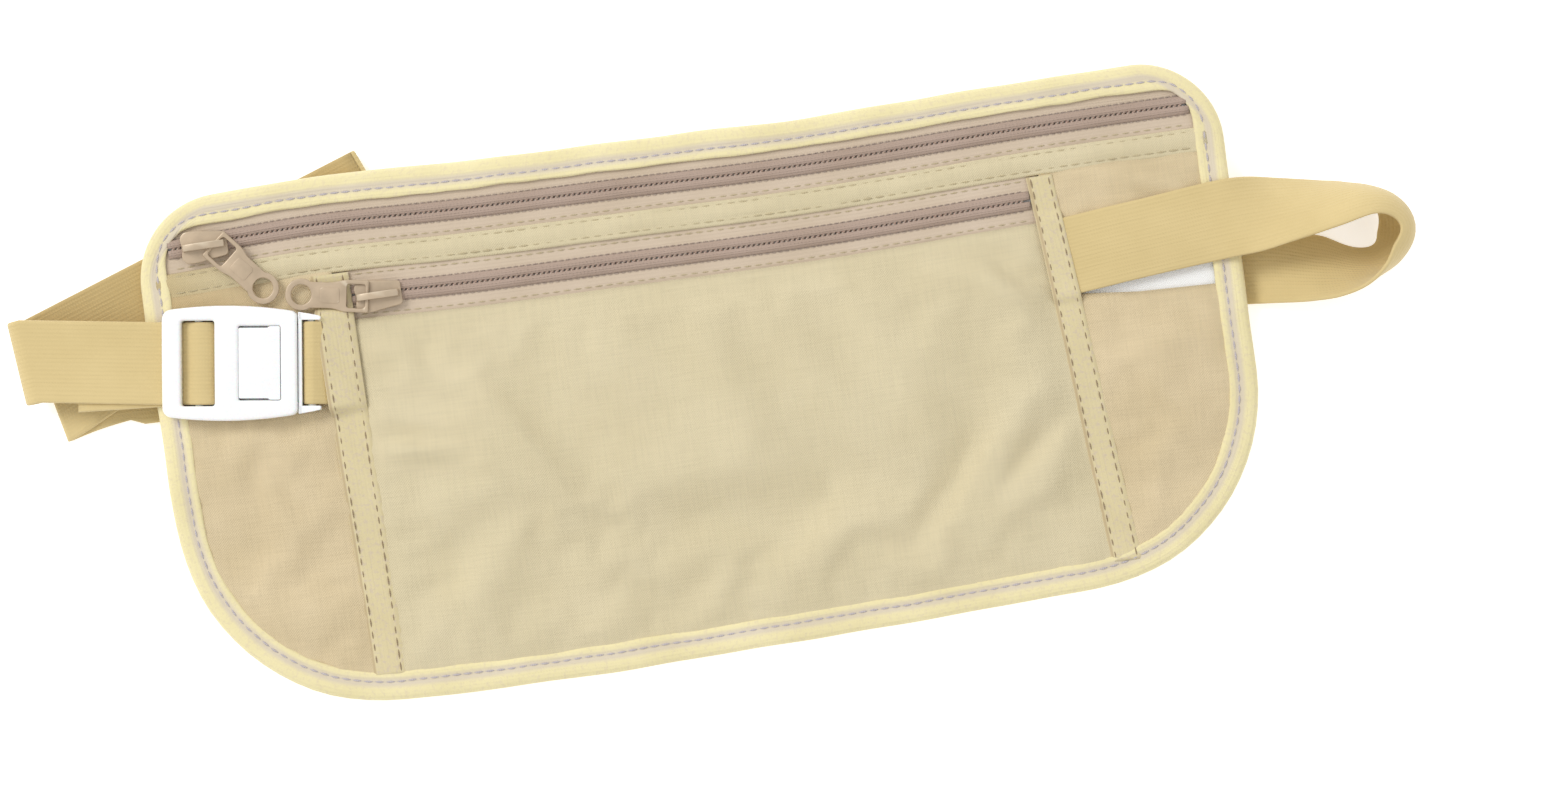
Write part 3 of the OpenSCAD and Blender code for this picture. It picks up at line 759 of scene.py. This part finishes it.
def stitches(name, path, material, slot, pitch=3.0, length=2.3, radius=0.2):
    """Sewing stitches laid along a path, each a short thread that dives into the cloth at its ends."""
    path = np.asarray(path, float)
    along = lengths_along(path)
    place = lambda s: np.array([np.interp(s, along, path[:, c]) for c in range(3)])
    points, places, faces = [], [], []
    for k in range(int(along[-1] / pitch)):
        start = (k + 0.15) * pitch
        base = len(points)
        for i in range(STITCH_RINGS):
            t = i / (STITCH_RINGS - 1)
            s = start + t * length
            p, q = place(s), place(s + 0.2)
            run = (q - p) / max(np.linalg.norm(q - p), 1e-9)
            side = np.cross(UP, run)
            bulge = math.sin(math.pi * (0.08 + 0.84 * t))
            for j in range(STITCH_SIDES):
                a = 2 * math.pi * j / STITCH_SIDES
                rise = radius * bulge * math.sin(a) + 0.18 * (bulge - 0.8)
                points.append(p + side * radius * bulge * math.cos(a) + UP * rise)
                places.append((radius * a, s))
        faces += shifted(ring_faces(STITCH_RINGS, STITCH_SIDES), base)
    return make_mesh(name, points, faces, "pouch", slot, material, places)


def over_strap(points, y0, y1, height):
    """Lifts a seam tape where a strap's sewn end lies under it, between y0 and y1."""
    p = np.array(points)
    y = p[:, 1]
    up = np.clip((y - y0) / 2.5 + 1, 0, 1) * np.clip((y1 - y) / 2.5 + 1, 0, 1)
    p[:, 2] += height * up * up * (3 - 2 * up)
    return p


# The left tape's left edge leans by these at its top and its foot.
TOP_LEAN, FOOT_LEAN = 1.9, 0.7


def tape_run(side, share, level):
    """A line down a seam tape at a share of its width, lifted over the strap sewn under it."""
    top, low = RIGHT_TAPE_Y[0] - 0.2, POUCH_LOW[1] + BINDING_W - 0.6
    if side > 0:
        run = straight(right_seam(top, share), top, right_seam(low, share), low, level, 120)
        return over_strap(run, 10, 28.5, 1.2)
    x = LEFT_TAPE_X[0] + (LEFT_TAPE_X[1] - LEFT_TAPE_X[0]) * share
    run = straight(x - TOP_LEAN * (1 - share), top, x - FOOT_LEAN * (1 - share), low, level, 120)
    return over_strap(run, 8.5, 30.5, 3.6 - 2.6 * share)


def make_seam_tapes():
    profile = flat_profile(*SEAM_TAPE_Z)
    for word, side, seed in (("left", -1, 0), ("right", 1, 5)):
        edges = [tape_run(side, share, 0) for share in (0, 1)]
        tape = band(f"{word}_tape", *edges, profile, "seam_tape", TAPE, 0.2, seed=seed)
        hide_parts(f"{word}_seam_tape")
        for share in (0.16, 0.84):
            run = tape_run(side, share, SEAM_TAPE_Z[1])
            stitches(f"{word}_tape_stitches_{round(share)}", run, BROWN, "seam_tape", radius=0.19)


MID_BAND_PROFILE = [
    (0, 2.7), (0.02, 3.1), (0.12, 3.35), (0.2, 3.2), (0.3, 3.5), (0.55, 3.62), (0.78, 3.5), (0.86, 3.2),
    (0.94, 3.3), (0.99, 3.1), (1, 2.75), (0.6, 2.7), (0.3, 2.7),
]


def make_mid_band():
    x0, x1 = edge_x(43, TUCK + 1, -1), edge_x(43, TUCK + 1, 1)
    edges = [straight(x0, y, x1, y, 0, 140) for y in BAND_Y]
    piece = band("mid_band", *edges, MID_BAND_PROFILE, "panel_cloth", MID_BAND, 0.35)
    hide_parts("mid_band_panel")
    for i, y in enumerate((BAND_Y[0] + 1.3, BAND_Y[1] - 1.0)):
        run = straight(x0 + 4, y, x1 - 4, y, BAND_SEWING_Z, 140)
        stitches(f"mid_band_stitches_{i}", run, THREAD, "panel_cloth")


# ---------- zips ----------

TEETH_PITCH = 1.25
# Each tooth's rings: how far out from the zip's middle, and how thick.
TOOTH = ((1.9, 0.7), (0.9, 0.9), (0.1, 1.0), (-0.2, 0.6))
TOOTH_W, TOOTH_H, TOOTH_SIDES = 0.42, 0.38, 6
RIDGE_PROFILE = [
    (0.0, 2.75), (0.03, 3.3), (0.14, 3.62), (0.38, 3.74), (0.64, 3.6), (0.84, 3.2), (0.94, 2.85), (1.0, 2.7),
    (0.9, 2.62), (0.1, 2.62),
]


def zip_line(x0, x1, y, level):
    return straight(x0, y, x1, y, level, 160)


def make_coil(name, x0, x1, y, side):
    """One side of the nylon coil, whose loops show in the slit between the tapes."""
    points, places, faces = [], [], []
    for k in range(int((x1 - x0) / TEETH_PITCH)):
        x = x0 + (k + (0.5 if side > 0 else 0.0)) * TEETH_PITCH
        base = len(points)
        for out, grow in TOOTH:
            spot = on_pouch([(x + 0.18 * side * (out - 1), y + side * out)], COIL_LEVEL)[0]
            for j in range(TOOTH_SIDES):
                a = 2 * math.pi * j / TOOTH_SIDES
                points.append(spot + [TOOTH_W * grow * math.cos(a), 0, TOOTH_H * grow * math.sin(a)])
                places.append((x, out * 2))
        faces += shifted(ring_faces(len(TOOTH), TOOTH_SIDES), base)
    return make_mesh(name, points, faces, "pouch", "zip_coil", COIL, places)


def make_zip(label, x_near, x_far, x_coil, y, edges):
    """Tapes, coils and sewing of one zip. x_far and edges are the tapes' outer edges, low then high."""
    for side, word in ((1, "upper"), (-1, "lower")):
        ends, far = (x_far[1], edges[1]) if side > 0 else (x_far[0], edges[0])
        lines = [zip_line(*x_near, y + side * 0.35, 0), zip_line(*ends, far, 0)]
        profile = flat_profile(*ZIP_TAPE_Z)
        tape = band(f"{label}_tape_{word}_cloth", *lines, profile, "zip_tape", ZIP_TAPE, 0.06, seed=side)
        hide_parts(f"{label}_tape_{word}")
        coil = make_coil(f"{label}_coil_{word}_loops", *x_coil, y, side)
        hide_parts(f"{label}_coil_{word}")
        ridge = [zip_line(x_coil[0] - 1, x_coil[1] + 0.6, y + side * out, 0) for out in (0.2, 2.35)]
        band(f"{label}_ridge_{word}", *ridge, RIDGE_PROFILE, "zip_tape", ZIP_RIDGE, 0.12, seed=side + 3)
        sewing = zip_line(*x_coil, y + side * 2.5, 2.72)
        stitches(f"{label}_coil_sewing_{word}", sewing, COIL_CORD, "zip_coil", 1.6, 1.3, 0.14)
        sewing = zip_line(*x_coil, y + side * (ZIP_BAND / 2 - 0.9), 2.66)
        stitches(f"{label}_tape_stitches_{word}", sewing, THREAD, "zip_tape", 2.6, 2.0, 0.15)


def make_zips():
    top_edges = (TOP_ZIP_Y - 8, TOP_ZIP_Y + 7.5)
    far = [[edge_x(y, TUCK, side) for side in (-1, 1)] for y in top_edges]
    near = [edge_x(TOP_ZIP_Y, TUCK, side) for side in (-1, 1)]
    make_zip("top_zip", near, far, (-122.5, 125.5), TOP_ZIP_Y, top_edges)
    near = (-84.6, 87.4)
    make_zip("front_zip", near, [near, near], (-80, 84.2), FRONT_ZIP_Y, (FRONT_ZIP_Y - 8, FRONT_ZIP_Y + 8))


# ---------- rounded plates: sliders, pulls and buckle ----------


def curve(start, middle, end, n):
    """A smooth curve from start to end that turns towards middle."""
    t = np.arange(n + 1)[:, None] / n
    return start * (1 - t) ** 2 + 2 * middle * t * (1 - t) + end * t * t


def soften(corners, radii, n=6):
    """A polygon whose corners are replaced with smooth curves of about the given radii."""
    corners = np.asarray(corners, float)
    radii = np.broadcast_to(radii, len(corners))
    points = []
    for i, p in enumerate(corners):
        before, after = corners[i - 1] - p, corners[(i + 1) % len(corners)] - p
        cut = min(radii[i], 0.48 * np.linalg.norm(before), 0.48 * np.linalg.norm(after))
        a, b = p + before / np.linalg.norm(before) * cut, p + after / np.linalg.norm(after) * cut
        points.append(curve(a, p, b, n))
    return np.vstack(points)


def ring(x, y, r, n=36):
    a = np.linspace(0, 2 * math.pi, n, endpoint=False)
    return np.column_stack([x + r * np.cos(a), y + r * np.sin(a)])


def inset(polygon, d):
    """A counter-clockwise polygon moved inwards by d."""
    before = polygon - np.roll(polygon, 1, axis=0)
    after = np.roll(polygon, -1, axis=0) - polygon
    n0 = np.column_stack([-before[:, 1], before[:, 0]]) / np.linalg.norm(before, axis=1)[:, None]
    n1 = np.column_stack([-after[:, 1], after[:, 0]]) / np.linalg.norm(after, axis=1)[:, None]
    return polygon + d * (n0 + n1) / (1 + (n0 * n1).sum(1))[:, None]


PLATE_STEP = 0.7


def rounded_plate(outer, z, r, holes=(), crown=None, steps=4):
    """Points and faces of a plate with rounded edges. Outlines run counter-clockwise."""
    z0, z1 = z
    arc = [math.pi / 2 * k / steps for k in range(steps + 1)]
    profile = [(r * (1 - math.sin(a)), z0 + r * (1 - math.cos(a))) for a in arc]
    profile += [(r * (1 - math.sin(a)), z1 - r * (1 - math.cos(a))) for a in arc[::-1]]
    last = len(profile) - 1
    points, faces, rims = [], [], []
    for k, border in enumerate([outer, *holes]):
        border = resample(border, PLATE_STEP)
        n = len(border)
        base = len(points)
        for d, level in profile:
            points += [(x, y, level) for x, y in inset(border, -d if k else d)]
        faces += shifted(ring_faces(len(profile), n, False), base)
        rims.append([list(range(base + row * n, base + (row + 1) * n)) for row in (0, last)])
    for which in (0, 1):
        flat, edges, keys = [], [], []
        for rim in rims:
            start, n = len(flat), len(rim[which])
            flat += [Vector(points[v][:2]) for v in rim[which]]
            keys += rim[which]
            edges += [(start + j, start + (j + 1) % n) for j in range(n)]
        made = geometry.delaunay_2d_cdt(flat, edges, [], 1, 1e-7)
        home = [keys[o[0]] for o in made[3]]
        openings = [np.array([points[v][:2] for v in rim[which]]) for rim in rims[1:]]
        for face in made[2]:
            middle = np.mean([tuple(made[0][v]) for v in face], axis=0)
            if not any(inside(middle, hole) for hole in openings):
                faces.append(tuple(home[v] for v in face))
    points = np.array(points)
    if crown is not None:
        high = points[:, 2] > (z0 + z1) / 2
        points[high, 2] += crown(points[high, 0], points[high, 1])
    return points, faces


def swept(path, across, section):
    """Points and faces of a bar that follows a path; across is the direction of its section's x."""
    path, across = np.asarray(path, float), np.asarray(across, float)
    points = []
    for p, run in zip(path, np.gradient(path, axis=0)):
        out = np.cross(run / np.linalg.norm(run), across)
        points += [p + across * x + out * y for x, y in section]
    return np.array(points), ring_faces(len(path), len(section))


def merged(parts, at, angle=0.0):
    """The parts as one, turned and moved to its place in the working frame."""
    points, faces, start = [], [], 0
    for part_points, part_faces in parts:
        points.append(part_points)
        faces += shifted(part_faces, start)
        start += len(part_points)
    x, y, z = np.vstack(points).T
    c, s = math.cos(math.radians(angle)), math.sin(math.radians(angle))
    return np.column_stack([at[0] + x * c - y * s, at[1] + x * s + y * c, at[2] + z]), faces


SHARP_ANGLE = 0.6


def keep_edges(bm):
    """Smooth shading that keeps the sharp edges."""
    for edge in bm.edges:
        if len(edge.link_faces) == 2 and edge.calc_face_angle(0) > SHARP_ANGLE:
            edge.smooth = False


def hard_piece(name, node, shape, body, slot, material, cutters=()):
    """A moulded or cast piece of (points, faces), with closed shapes cut out of it."""
    piece = make_mesh(name, *shape, body, slot, material)
    for cutter in cutters:
        tool = make_mesh("cutter", *cutter, None, None, material)
        cut = piece.modifiers.new("cut", "BOOLEAN")
        cut.operation, cut.object, cut.solver = "DIFFERENCE", tool, "EXACT"
        bpy.context.view_layer.update()
        done = bpy.data.meshes.new_from_object(piece.evaluated_get(bpy.context.evaluated_depsgraph_get()))
        piece.modifiers.clear()
        piece.data = done
        bpy.data.objects.remove(tool)
    edit_mesh(piece.data, keep_edges)
    if node:
        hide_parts(node)


SLIDER_OUTLINE = [
    (5.75, -2.9), (5.75, 2.9), (2.2, 3.3), (-1.6, 3.9), (-4.6, 3.9), (-5.75, 2.4), (-5.2, 0.0), (-5.75, -2.4),
    (-4.6, -3.9), (-1.6, -3.9), (2.2, -3.3),
]
SLIDER_TOP_Z, SLIDER_UNDER_Z, RAIL_Z, WEDGE_Z = (3.8, 4.55), (1.6, 2.1), (2.75, 4.1), (2.0, 3.95)
BRIDGE_RISE = [(-4.9, 4.2), (-4.95, 5.0), (-4.7, 5.7), (-4.0, 6.12), (-2.0, 6.25)]
BRIDGE_PATH = [(x, 0, z) for x, z in BRIDGE_RISE + [(0, 6.28)] + [(-x, z) for x, z in BRIDGE_RISE[::-1]]]


def make_slider(node, body, x, y):
    plate = soften(SLIDER_OUTLINE, 1.0)
    parts = [rounded_plate(plate, SLIDER_TOP_Z, 0.28),
             rounded_plate(inset(resample(plate, PLATE_STEP), 0.15), SLIDER_UNDER_Z, 0.15),
             rounded_plate(soften(rectangle(-2.4, -0.5, 2.4, -0.16), 0.05), WEDGE_Z, 0.02)]
    for y0, y1 in ((-3.55, -2.62), (2.62, 3.55)):
        parts.append(rounded_plate(soften(rectangle(-4.4, y0, 1.4, y1), 0.3), RAIL_Z, 0.12))
    parts.append(swept(BRIDGE_PATH, (0, 1, 0), soften(rectangle(-0.85, -0.35, 0.85, 0.35), 0.25, 3)))
    hard_piece(f"{node}_body", node, merged(parts, (x, y, STACK)), body, "slider_metal", METAL)


PULL_OUTLINE = [(-0.4, -3.9), (5.8, -3.9), (8.0, -3.15), (11.0, -3.15)]
PULL_RADII = [0.5, 1.4, 1.4, 0.8]
PULL_LEVEL, PULL_END_X, PULL_END_R, PULL_HOLE_R, PULL_HALF_T = 5.1, 15.9, 3.9, 2.45, 0.42


def make_pull(node, body, x, y, angle):
    """A tab with a square eye for the bridge and a round finger hole at its end."""
    turns = np.radians(np.linspace(-125, 125, 21))
    tip = [(PULL_END_X + PULL_END_R * math.cos(a), PULL_END_R * math.sin(a)) for a in turns]
    radii = PULL_RADII + [0.1] * len(tip) + PULL_RADII[::-1]
    shape = soften(PULL_OUTLINE + tip + mirrored(PULL_OUTLINE), radii, 3)
    holes = [soften(rectangle(0.4, -2.9, 4.9, 2.9), 0.8), ring(PULL_END_X, 0, PULL_HOLE_R)]
    plate = rounded_plate(shape, (-PULL_HALF_T, PULL_HALF_T), 0.26, holes)
    pad = rounded_plate(soften(rectangle(6.6, -1.9, 11.4, 1.9), 0.9), (0.3, 0.56), 0.12)
    tab = merged([plate, pad], (x, y, STACK + PULL_LEVEL), angle)
    hard_piece(f"{node}_tab", node, tab, body, "slider_metal", METAL)


def barrel(u):
    """Half the buckle's width, which bulges a little along its length."""
    return 13.9 - 0.005 * (u + 4) ** 2


def barrel_outline(u0, u1, radii, n=22):
    """The buckle's barrel between two ends, with the given corner radii at each end."""
    r0, r1 = radii
    first = [(u0, r0 - barrel(u0)), (u0, -barrel(u0)), (u0 + r0, -barrel(u0 + r0))]
    last = [(u1 - r1, -barrel(u1 - r1)), (u1, -barrel(u1)), (u1, r1 - barrel(u1))]
    side = [(u, -barrel(u)) for u in np.linspace(u0 + r0, u1 - r1, n)][1:-1]
    half = np.vstack([curve(*np.array(first), 7), side, curve(*np.array(last), 7)])
    return np.vstack([half, half[::-1] * [1, -1]])


def crown(u, v):
    """How the buckle's face falls away from its middle."""
    return -0.0022 * v * v - 0.0006 * (u + 2) ** 2


SHELL_Z, ARM_Z, FLOOR_Z, CAVITY_Z, STRAP_SLOT_Z = (7.3, 12.75), (7.3, 11.4), (7.3, 8.3), (8.3, 11.4), (6, 9.5)
TONGUE_Z, CATCH_Z, PRESS_Z = (8.6, 10.4), (10.2, 10.75), (11.5, 12.74)
LADDER_BAR, ANCHOR_BAR, BAR_R, BAR_HALF = (-10.6, 9.35), (16.7, 9.25), 1.0, 10.8
ARM = [(13.7, -12.3), (16.4, -11.85), (19.0, -11.3), (19.0, -10.35), (13.7, -10.35)]
PRESS_HALF = [(-0.62, -8.5), (6.4, -8.5), (6.8, -8.88), (9.34, -8.88)]
TONGUE_HALF = [(-3, -8.0), (0.5, -9.1), (14.0, -9.1)]


def in_buckle(*parts):
    return merged(parts, BUCKLE_AT, BUCKLE_TURN)


def box_cutter(u0, v0, u1, v1, z):
    return in_buckle(rounded_plate(np.array(rectangle(u0, v0, u1, v1), float), z, 0.001, steps=1))


def bar(place):
    u, z = place
    return swept([(u, -BAR_HALF, z), (u, BAR_HALF, z)], (1, 0, 0), ring(0, 0, BAR_R, 20))


def make_buckle():
    window = soften(rectangle(-14.6, -10.3, -6.5, 10.3), 0.8)
    slot = soften(rectangle(-0.7, -8.95, 9.4, 8.95), 0.5)
    shell = rounded_plate(barrel_outline(-19.2, 13.4, (2.4, 1.6)), SHELL_Z, 0.75, [window, slot], crown)
    cutters = [box_cutter(-20, -10.3, -13.6, 10.3, STRAP_SLOT_Z), box_cutter(-4, -9.4, 14.5, 9.4, CAVITY_Z)]
    look = ("buckle_plastic", BUCKLE)
    hard_piece("buckle_socket_frame", "buckle_female", in_buckle(shell), "buckle_socket", *look, cutters)
    floor = rounded_plate(slot, FLOOR_Z, 0.05)
    hard_piece("buckle_ladder_bar", None, in_buckle(bar(LADDER_BAR), floor), "buckle_socket", *look)
    press = rounded_plate(soften(PRESS_HALF + mirrored(PRESS_HALF), 0.4), PRESS_Z, 0.12, crown=crown)
    hard_piece("buckle_press_plate", "buckle_button", in_buckle(press), "buckle_button", *look)

    arms = [rounded_plate(soften(arm, 0.42, 6), ARM_Z, 0.2) for arm in (ARM, mirrored(ARM))]
    male = in_buckle(
        rounded_plate(barrel_outline(13.6, 14.5, (0.4, 0.4), 4), ARM_Z, 0.2), *arms, bar(ANCHOR_BAR),
        rounded_plate(soften(TONGUE_HALF + mirrored(TONGUE_HALF), 0.8), TONGUE_Z, 0.3),
        rounded_plate(soften(rectangle(3, -8, 5.5, 8), 0.3), CATCH_Z, 0.15))
    hard_piece("buckle_tongue_frame", "buckle_male", male, "pouch", *look)


# Where each slider stands, and each pull's hinge with the direction it points in.
TOP_SLIDER, FRONT_SLIDER = (-114.6, TOP_ZIP_Y), (-74.6, FRONT_ZIP_Y)
TOP_PULL, FRONT_PULL = (-112.0, TOP_ZIP_Y, -50), (-77.2, FRONT_ZIP_Y, 170)

make_panels()
make_binding()
make_seam_tapes()
make_mid_band()
make_zips()
make_slider("top_zip_slider", "top_slider", *TOP_SLIDER)
make_slider("front_zip_slider", "front_slider", *FRONT_SLIDER)
make_pull("top_zip_pull", "top_pull", *TOP_PULL)
make_pull("front_zip_pull", "front_pull", *FRONT_PULL)
make_buckle()


# ---------- webbing ----------

PASS_Z = [BELT_T / 2 + i * (BELT_T + 0.1) for i in range(3)]
FRONT_Z = 8.8
TAIL_Z = FRONT_Z - BELT_T - 0.1
LEFT_FOLD = np.array([-157.0, 19.0, 0.0])
TOP_FOLD = np.array([-72.0, 60.4, 0.0])
FRONT_FOLD = BUCKLE_AT - 55.2 * BUCKLE_U
RIGHT_RETURN = np.array([134.4, 11.5, BELT_T / 2])

RIGHT_LOOP = [
    # x, y, z, heading, tilt, curl, width share
    (87.6, 18.8, 7.05, 5, 0, 0, 0.94), (94, 19.4, 7.3, 5, 0, 0, 0.94), (104, 20.4, TAIL_Z, 5, 0, 3, 0.94),
    (114, 21.3, TAIL_Z, 5, 0, 4, 0.94), (126, 22.4, TAIL_Z, 5, 0, 4, 0.955),
    (134, 22.9, 8.7, 3, 8, 4, 0.96), (143.8, 22.8, 8.2, -2, 34, 8, 1), (154.3, 22.5, 8.4, -9, 50, 20, 1),
    (160, 22.3, 8.8, -13, 57, 34, 1), (164.6, 21.3, 8.8, -24, 68, 50, 1),
    (168.2, 18.7, 8.4, -50, 86, 68, 1), (169.8, 14.9, 7.8, -88, 105, 78, 1),
    (168.1, 11.2, 8.0, -126, 100, 66, 1), (165.2, 8.8, 8.6, -148, 109, 48, 1),
    (160.5, 7.4, 8.6, -168, 124, 30, 1), (155, 7.7, 7.2, -180, 139, 16, 1),
    (150, 8.4, 6.1, -186, 147, 8, 1), (142, 10.4, 3.0, -184, 166, 2, 1),
    (136.5, 11.3, 1.0, -182, 177, 0, 1),
]


def run_angle(start, end):
    return math.degrees(math.atan2(end[1] - start[1], end[0] - start[0]))


RUN_1 = run_angle(LEFT_FOLD, RIGHT_RETURN)
RUN_2 = run_angle(LEFT_FOLD, TOP_FOLD)
RUN_3 = run_angle(FRONT_FOLD, TOP_FOLD)


def strap_side(h, tilt):
    t = math.radians(tilt)
    return (math.cos(t) * heading(h + 90) - np.array([0, 0, math.sin(t)])) * BELT_W / 2


def fold_run(apex, a0, a1, z0, z1, n=12):
    """Stations (centre, half-width vector) round a fold, as in the part's source."""
    middle = (a0 + a1) / 2
    side = heading(middle + 90)
    side = side * math.copysign(1, side[1]) * BELT_W / 2 / math.cos(math.radians((a0 - a1) / 2))
    r = (z1 - z0) / 2
    axis = np.asarray(apex) + heading(middle) * (r + BELT_T / 2)
    out = -heading(middle)
    stations = []
    for i in range(n + 1):
        a = math.radians(-90 + 180 * i / n)
        stations.append((axis + (out * math.cos(a) + UP * math.sin(a)) * r + UP * (z0 + z1) / 2, side))
    return stations


def catmull(rows, steps):
    """Smooth rows of numbers through every given row."""
    rows = np.asarray(rows, float)
    padded = np.vstack([2 * rows[0] - rows[1], rows, 2 * rows[-1] - rows[-2]])
    out = []
    for i in range(1, len(padded) - 2):
        p0, p1, p2, p3 = padded[i - 1 : i + 3]
        for k in range(steps):
            t = k / steps
            out.append(0.5 * (2 * p1 + (p2 - p0) * t + (2 * p0 - 5 * p1 + 4 * p2 - p3) * t * t
                              + (3 * p1 - p0 - 3 * p2 + p3) * t ** 3))
    return np.vstack([out, rows[-1:]])


def spaced(a, b, step):
    """Stations between two stations, both left out."""
    n = max(1, int(np.linalg.norm(b[0] - a[0]) / step))
    return [(a[0] + (b[0] - a[0]) * i / n, a[1] + (b[1] - a[1]) * i / n) for i in range(1, n)]


STRAP_COLUMNS, RIB_DEPTH = 40, 0.015


def strap_section():
    """Cross-section of the webbing: (share from -1 to 1, height share from -1 to 1)."""
    top = [(-1 + 2 * j / STRAP_COLUMNS, 1.0) for j in range(STRAP_COLUMNS + 1)]
    top[0], top[-1] = (-0.985, 0.75), (0.985, 0.75)
    bottom = [(x, -z) for x, z in top[::-1]]
    return top + [(1.0, 0.0)] + bottom + [(-1.0, 0.0)]


def blunted(points, corner, direction, start, share):
    """Squashes the corner of a fold: what lies past start mm along direction keeps only a share."""
    p = np.array(points)
    reach = (p[:, :2] - corner[:2]) @ direction[:2]
    far = np.linalg.norm(p[:, :2] - corner[:2], axis=1) < BELT_W
    past = np.where(far, np.maximum(reach - start, 0), 0)
    p[:, :2] -= past[:, None] * (1 - share) * direction[:2]
    return p


def ribbon(name, node, stations, body, curls=None, start=0.0, material=WEBBING, corners=()):
    """Webbing swept along stations of (centre, half-width vector).

    curls gives the half angle in degrees through which each station's width is rolled, and start the
    length of belt that comes before."""
    centres = np.array([s[0] for s in stations])
    sides = np.array([s[1] for s in stations])
    along = lengths_along(centres) + start
    section = strap_section()
    points, places = [], []
    for i, (c, w, run) in enumerate(zip(centres, sides, np.gradient(centres, axis=0))):
        n = np.cross(run, w)
        n /= max(np.linalg.norm(n), 1e-9)
        half = np.linalg.norm(w)
        roll = max(math.radians(curls[i]) if curls is not None else 0.0, 1e-3)
        for share, height in section:
            a = roll * share
            rib = RIB_DEPTH * math.cos(share * math.pi * STRAP_COLUMNS / 2) * height
            out = n * math.cos(a) + w / half * math.sin(a)
            middle = c + w * math.sin(a) / roll + n * half * (math.cos(a) - math.cos(roll)) / roll
            points.append(middle + out * (height * BELT_T / 2 + rib))
            places.append((share * BELT_W / 2, along[i]))
    for corner in corners:
        points = blunted(points, *corner)
    faces = ring_faces(len(stations), len(section))
    piece = make_mesh(name, points, faces, body, "webbing", material, places)
    if node:
        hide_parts(node)
    length = along[-1] - start
    return piece, length


def u_station(u, z, v=0.0):
    """A station across the buckle, at a place along it and a height."""
    return BUCKLE_AT + BUCKLE_U * u + BUCKLE_V * v + UP * z, BUCKLE_V * BELT_W / 2


def wrap(u, z, a0, a1, n=14, wide=1.6, high=1.6):
    """Stations round one of the buckle's bars, between two angles in degrees."""
    turns = [math.radians(a0 + (a1 - a0) * i / n) for i in range(n + 1)]
    return [u_station(u + wide * math.cos(a), z + high * math.sin(a)) for a in turns]


# The first pass bows by BOW towards the top edge between the left fold and BOW_END.
BOW, BOW_FADE, BOW_END, BOW_LENGTH = 2.3, 12, -40, 60
BLUNT_CORNERS = [(TOP_FOLD, heading(62), 9.5, 0.35), (LEFT_FOLD, heading(-76), 9.8, 0.4)]
# Places along the buckle: where the strap goes in, where it rounds the ladder bar, and its tail's end.
STRAP_IN, LADDER_TURN, TAIL_END = (-16, -14.1), (-9.9, -12.6), (-40, -1.6)
# The anchor strap from its sewn end to the bar and back, as (along the buckle, height).
ANCHOR_LOWER = ((24.0, 7.05), (21.0, 7.5))
ANCHOR_UPPER = ((19.4, 9.65), (21.0, 8.9), (22.2, 8.2), (24.0, 8.1))


def make_belt():
    loop = catmull(RIGHT_LOOP, 6)
    stations = [(np.array(r[:3]), strap_side(r[3], r[4]) * r[6]) for r in loop]
    curls = [max(r[5], 0) for r in loop]
    end = (RIGHT_RETURN, strap_side(RUN_1 - 180, 180))
    stations += spaced(stations[-1], end, 3) + [end]
    fold_1 = fold_run(LEFT_FOLD, RUN_1, RUN_2, PASS_Z[0], PASS_Z[1])
    fold_x = fold_1[0][0][0]
    for c, w in spaced(stations[-1], fold_1[0], 3):
        rise = np.clip((c[0] - fold_x) / BOW_FADE, 0, 1) * np.clip((BOW_END - c[0]) / BOW_LENGTH, 0, 1)
        stations.append((c + np.array([0, BOW * rise * (2 - rise), 0]), w))
    stations += fold_1
    fold_2 = fold_run(TOP_FOLD, RUN_2 - 180, RUN_3 - 180, PASS_Z[1], PASS_Z[2])
    stations += spaced(stations[-1], fold_2[0], 5) + fold_2
    curls += [0] * (len(stations) - len(curls))
    _, length = ribbon("belt_back_webbing", "belt_webbing", stations, "pouch", curls,
                       corners=BLUNT_CORNERS)

    fold_3 = fold_run(FRONT_FOLD, RUN_3, BUCKLE_TURN, PASS_Z[2], FRONT_Z)
    pass_3 = [fold_2[-1]] + spaced(fold_2[-1], fold_3[0], 3) + [fold_3[0]]
    # The crossing pass takes the darker webbing copy: painted shade on its reverse face.
    piece, part = ribbon("belt_crossing_webbing", None, pass_3, None, start=length,
                         material=SHADED_REVERSE)
    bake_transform(piece)

    into = [u_station(u, FRONT_Z) for u in STRAP_IN]
    front = fold_3 + spaced(fold_3[-1], into[0], 3) + into
    front += wrap(LADDER_TURN[0], LADDER_BAR[1], 125, -90, wide=2.75, high=1.7)
    front.append(u_station(LADDER_TURN[1], TAIL_Z))
    tail = u_station(TAIL_END[0], TAIL_Z, TAIL_END[1])
    front += spaced(front[-1], tail, 3) + [tail]
    ribbon("belt_front_webbing", "belt_front_strap", front, "buckle_socket",
           start=length + part)

    lower, upper = [[u_station(*place) for place in run] for run in (ANCHOR_LOWER, ANCHOR_UPPER)]
    anchor = lower + wrap(*ANCHOR_BAR, -90, -298) + upper
    ribbon("anchor_webbing", "buckle_anchor_strap", anchor, "pouch")


make_belt()
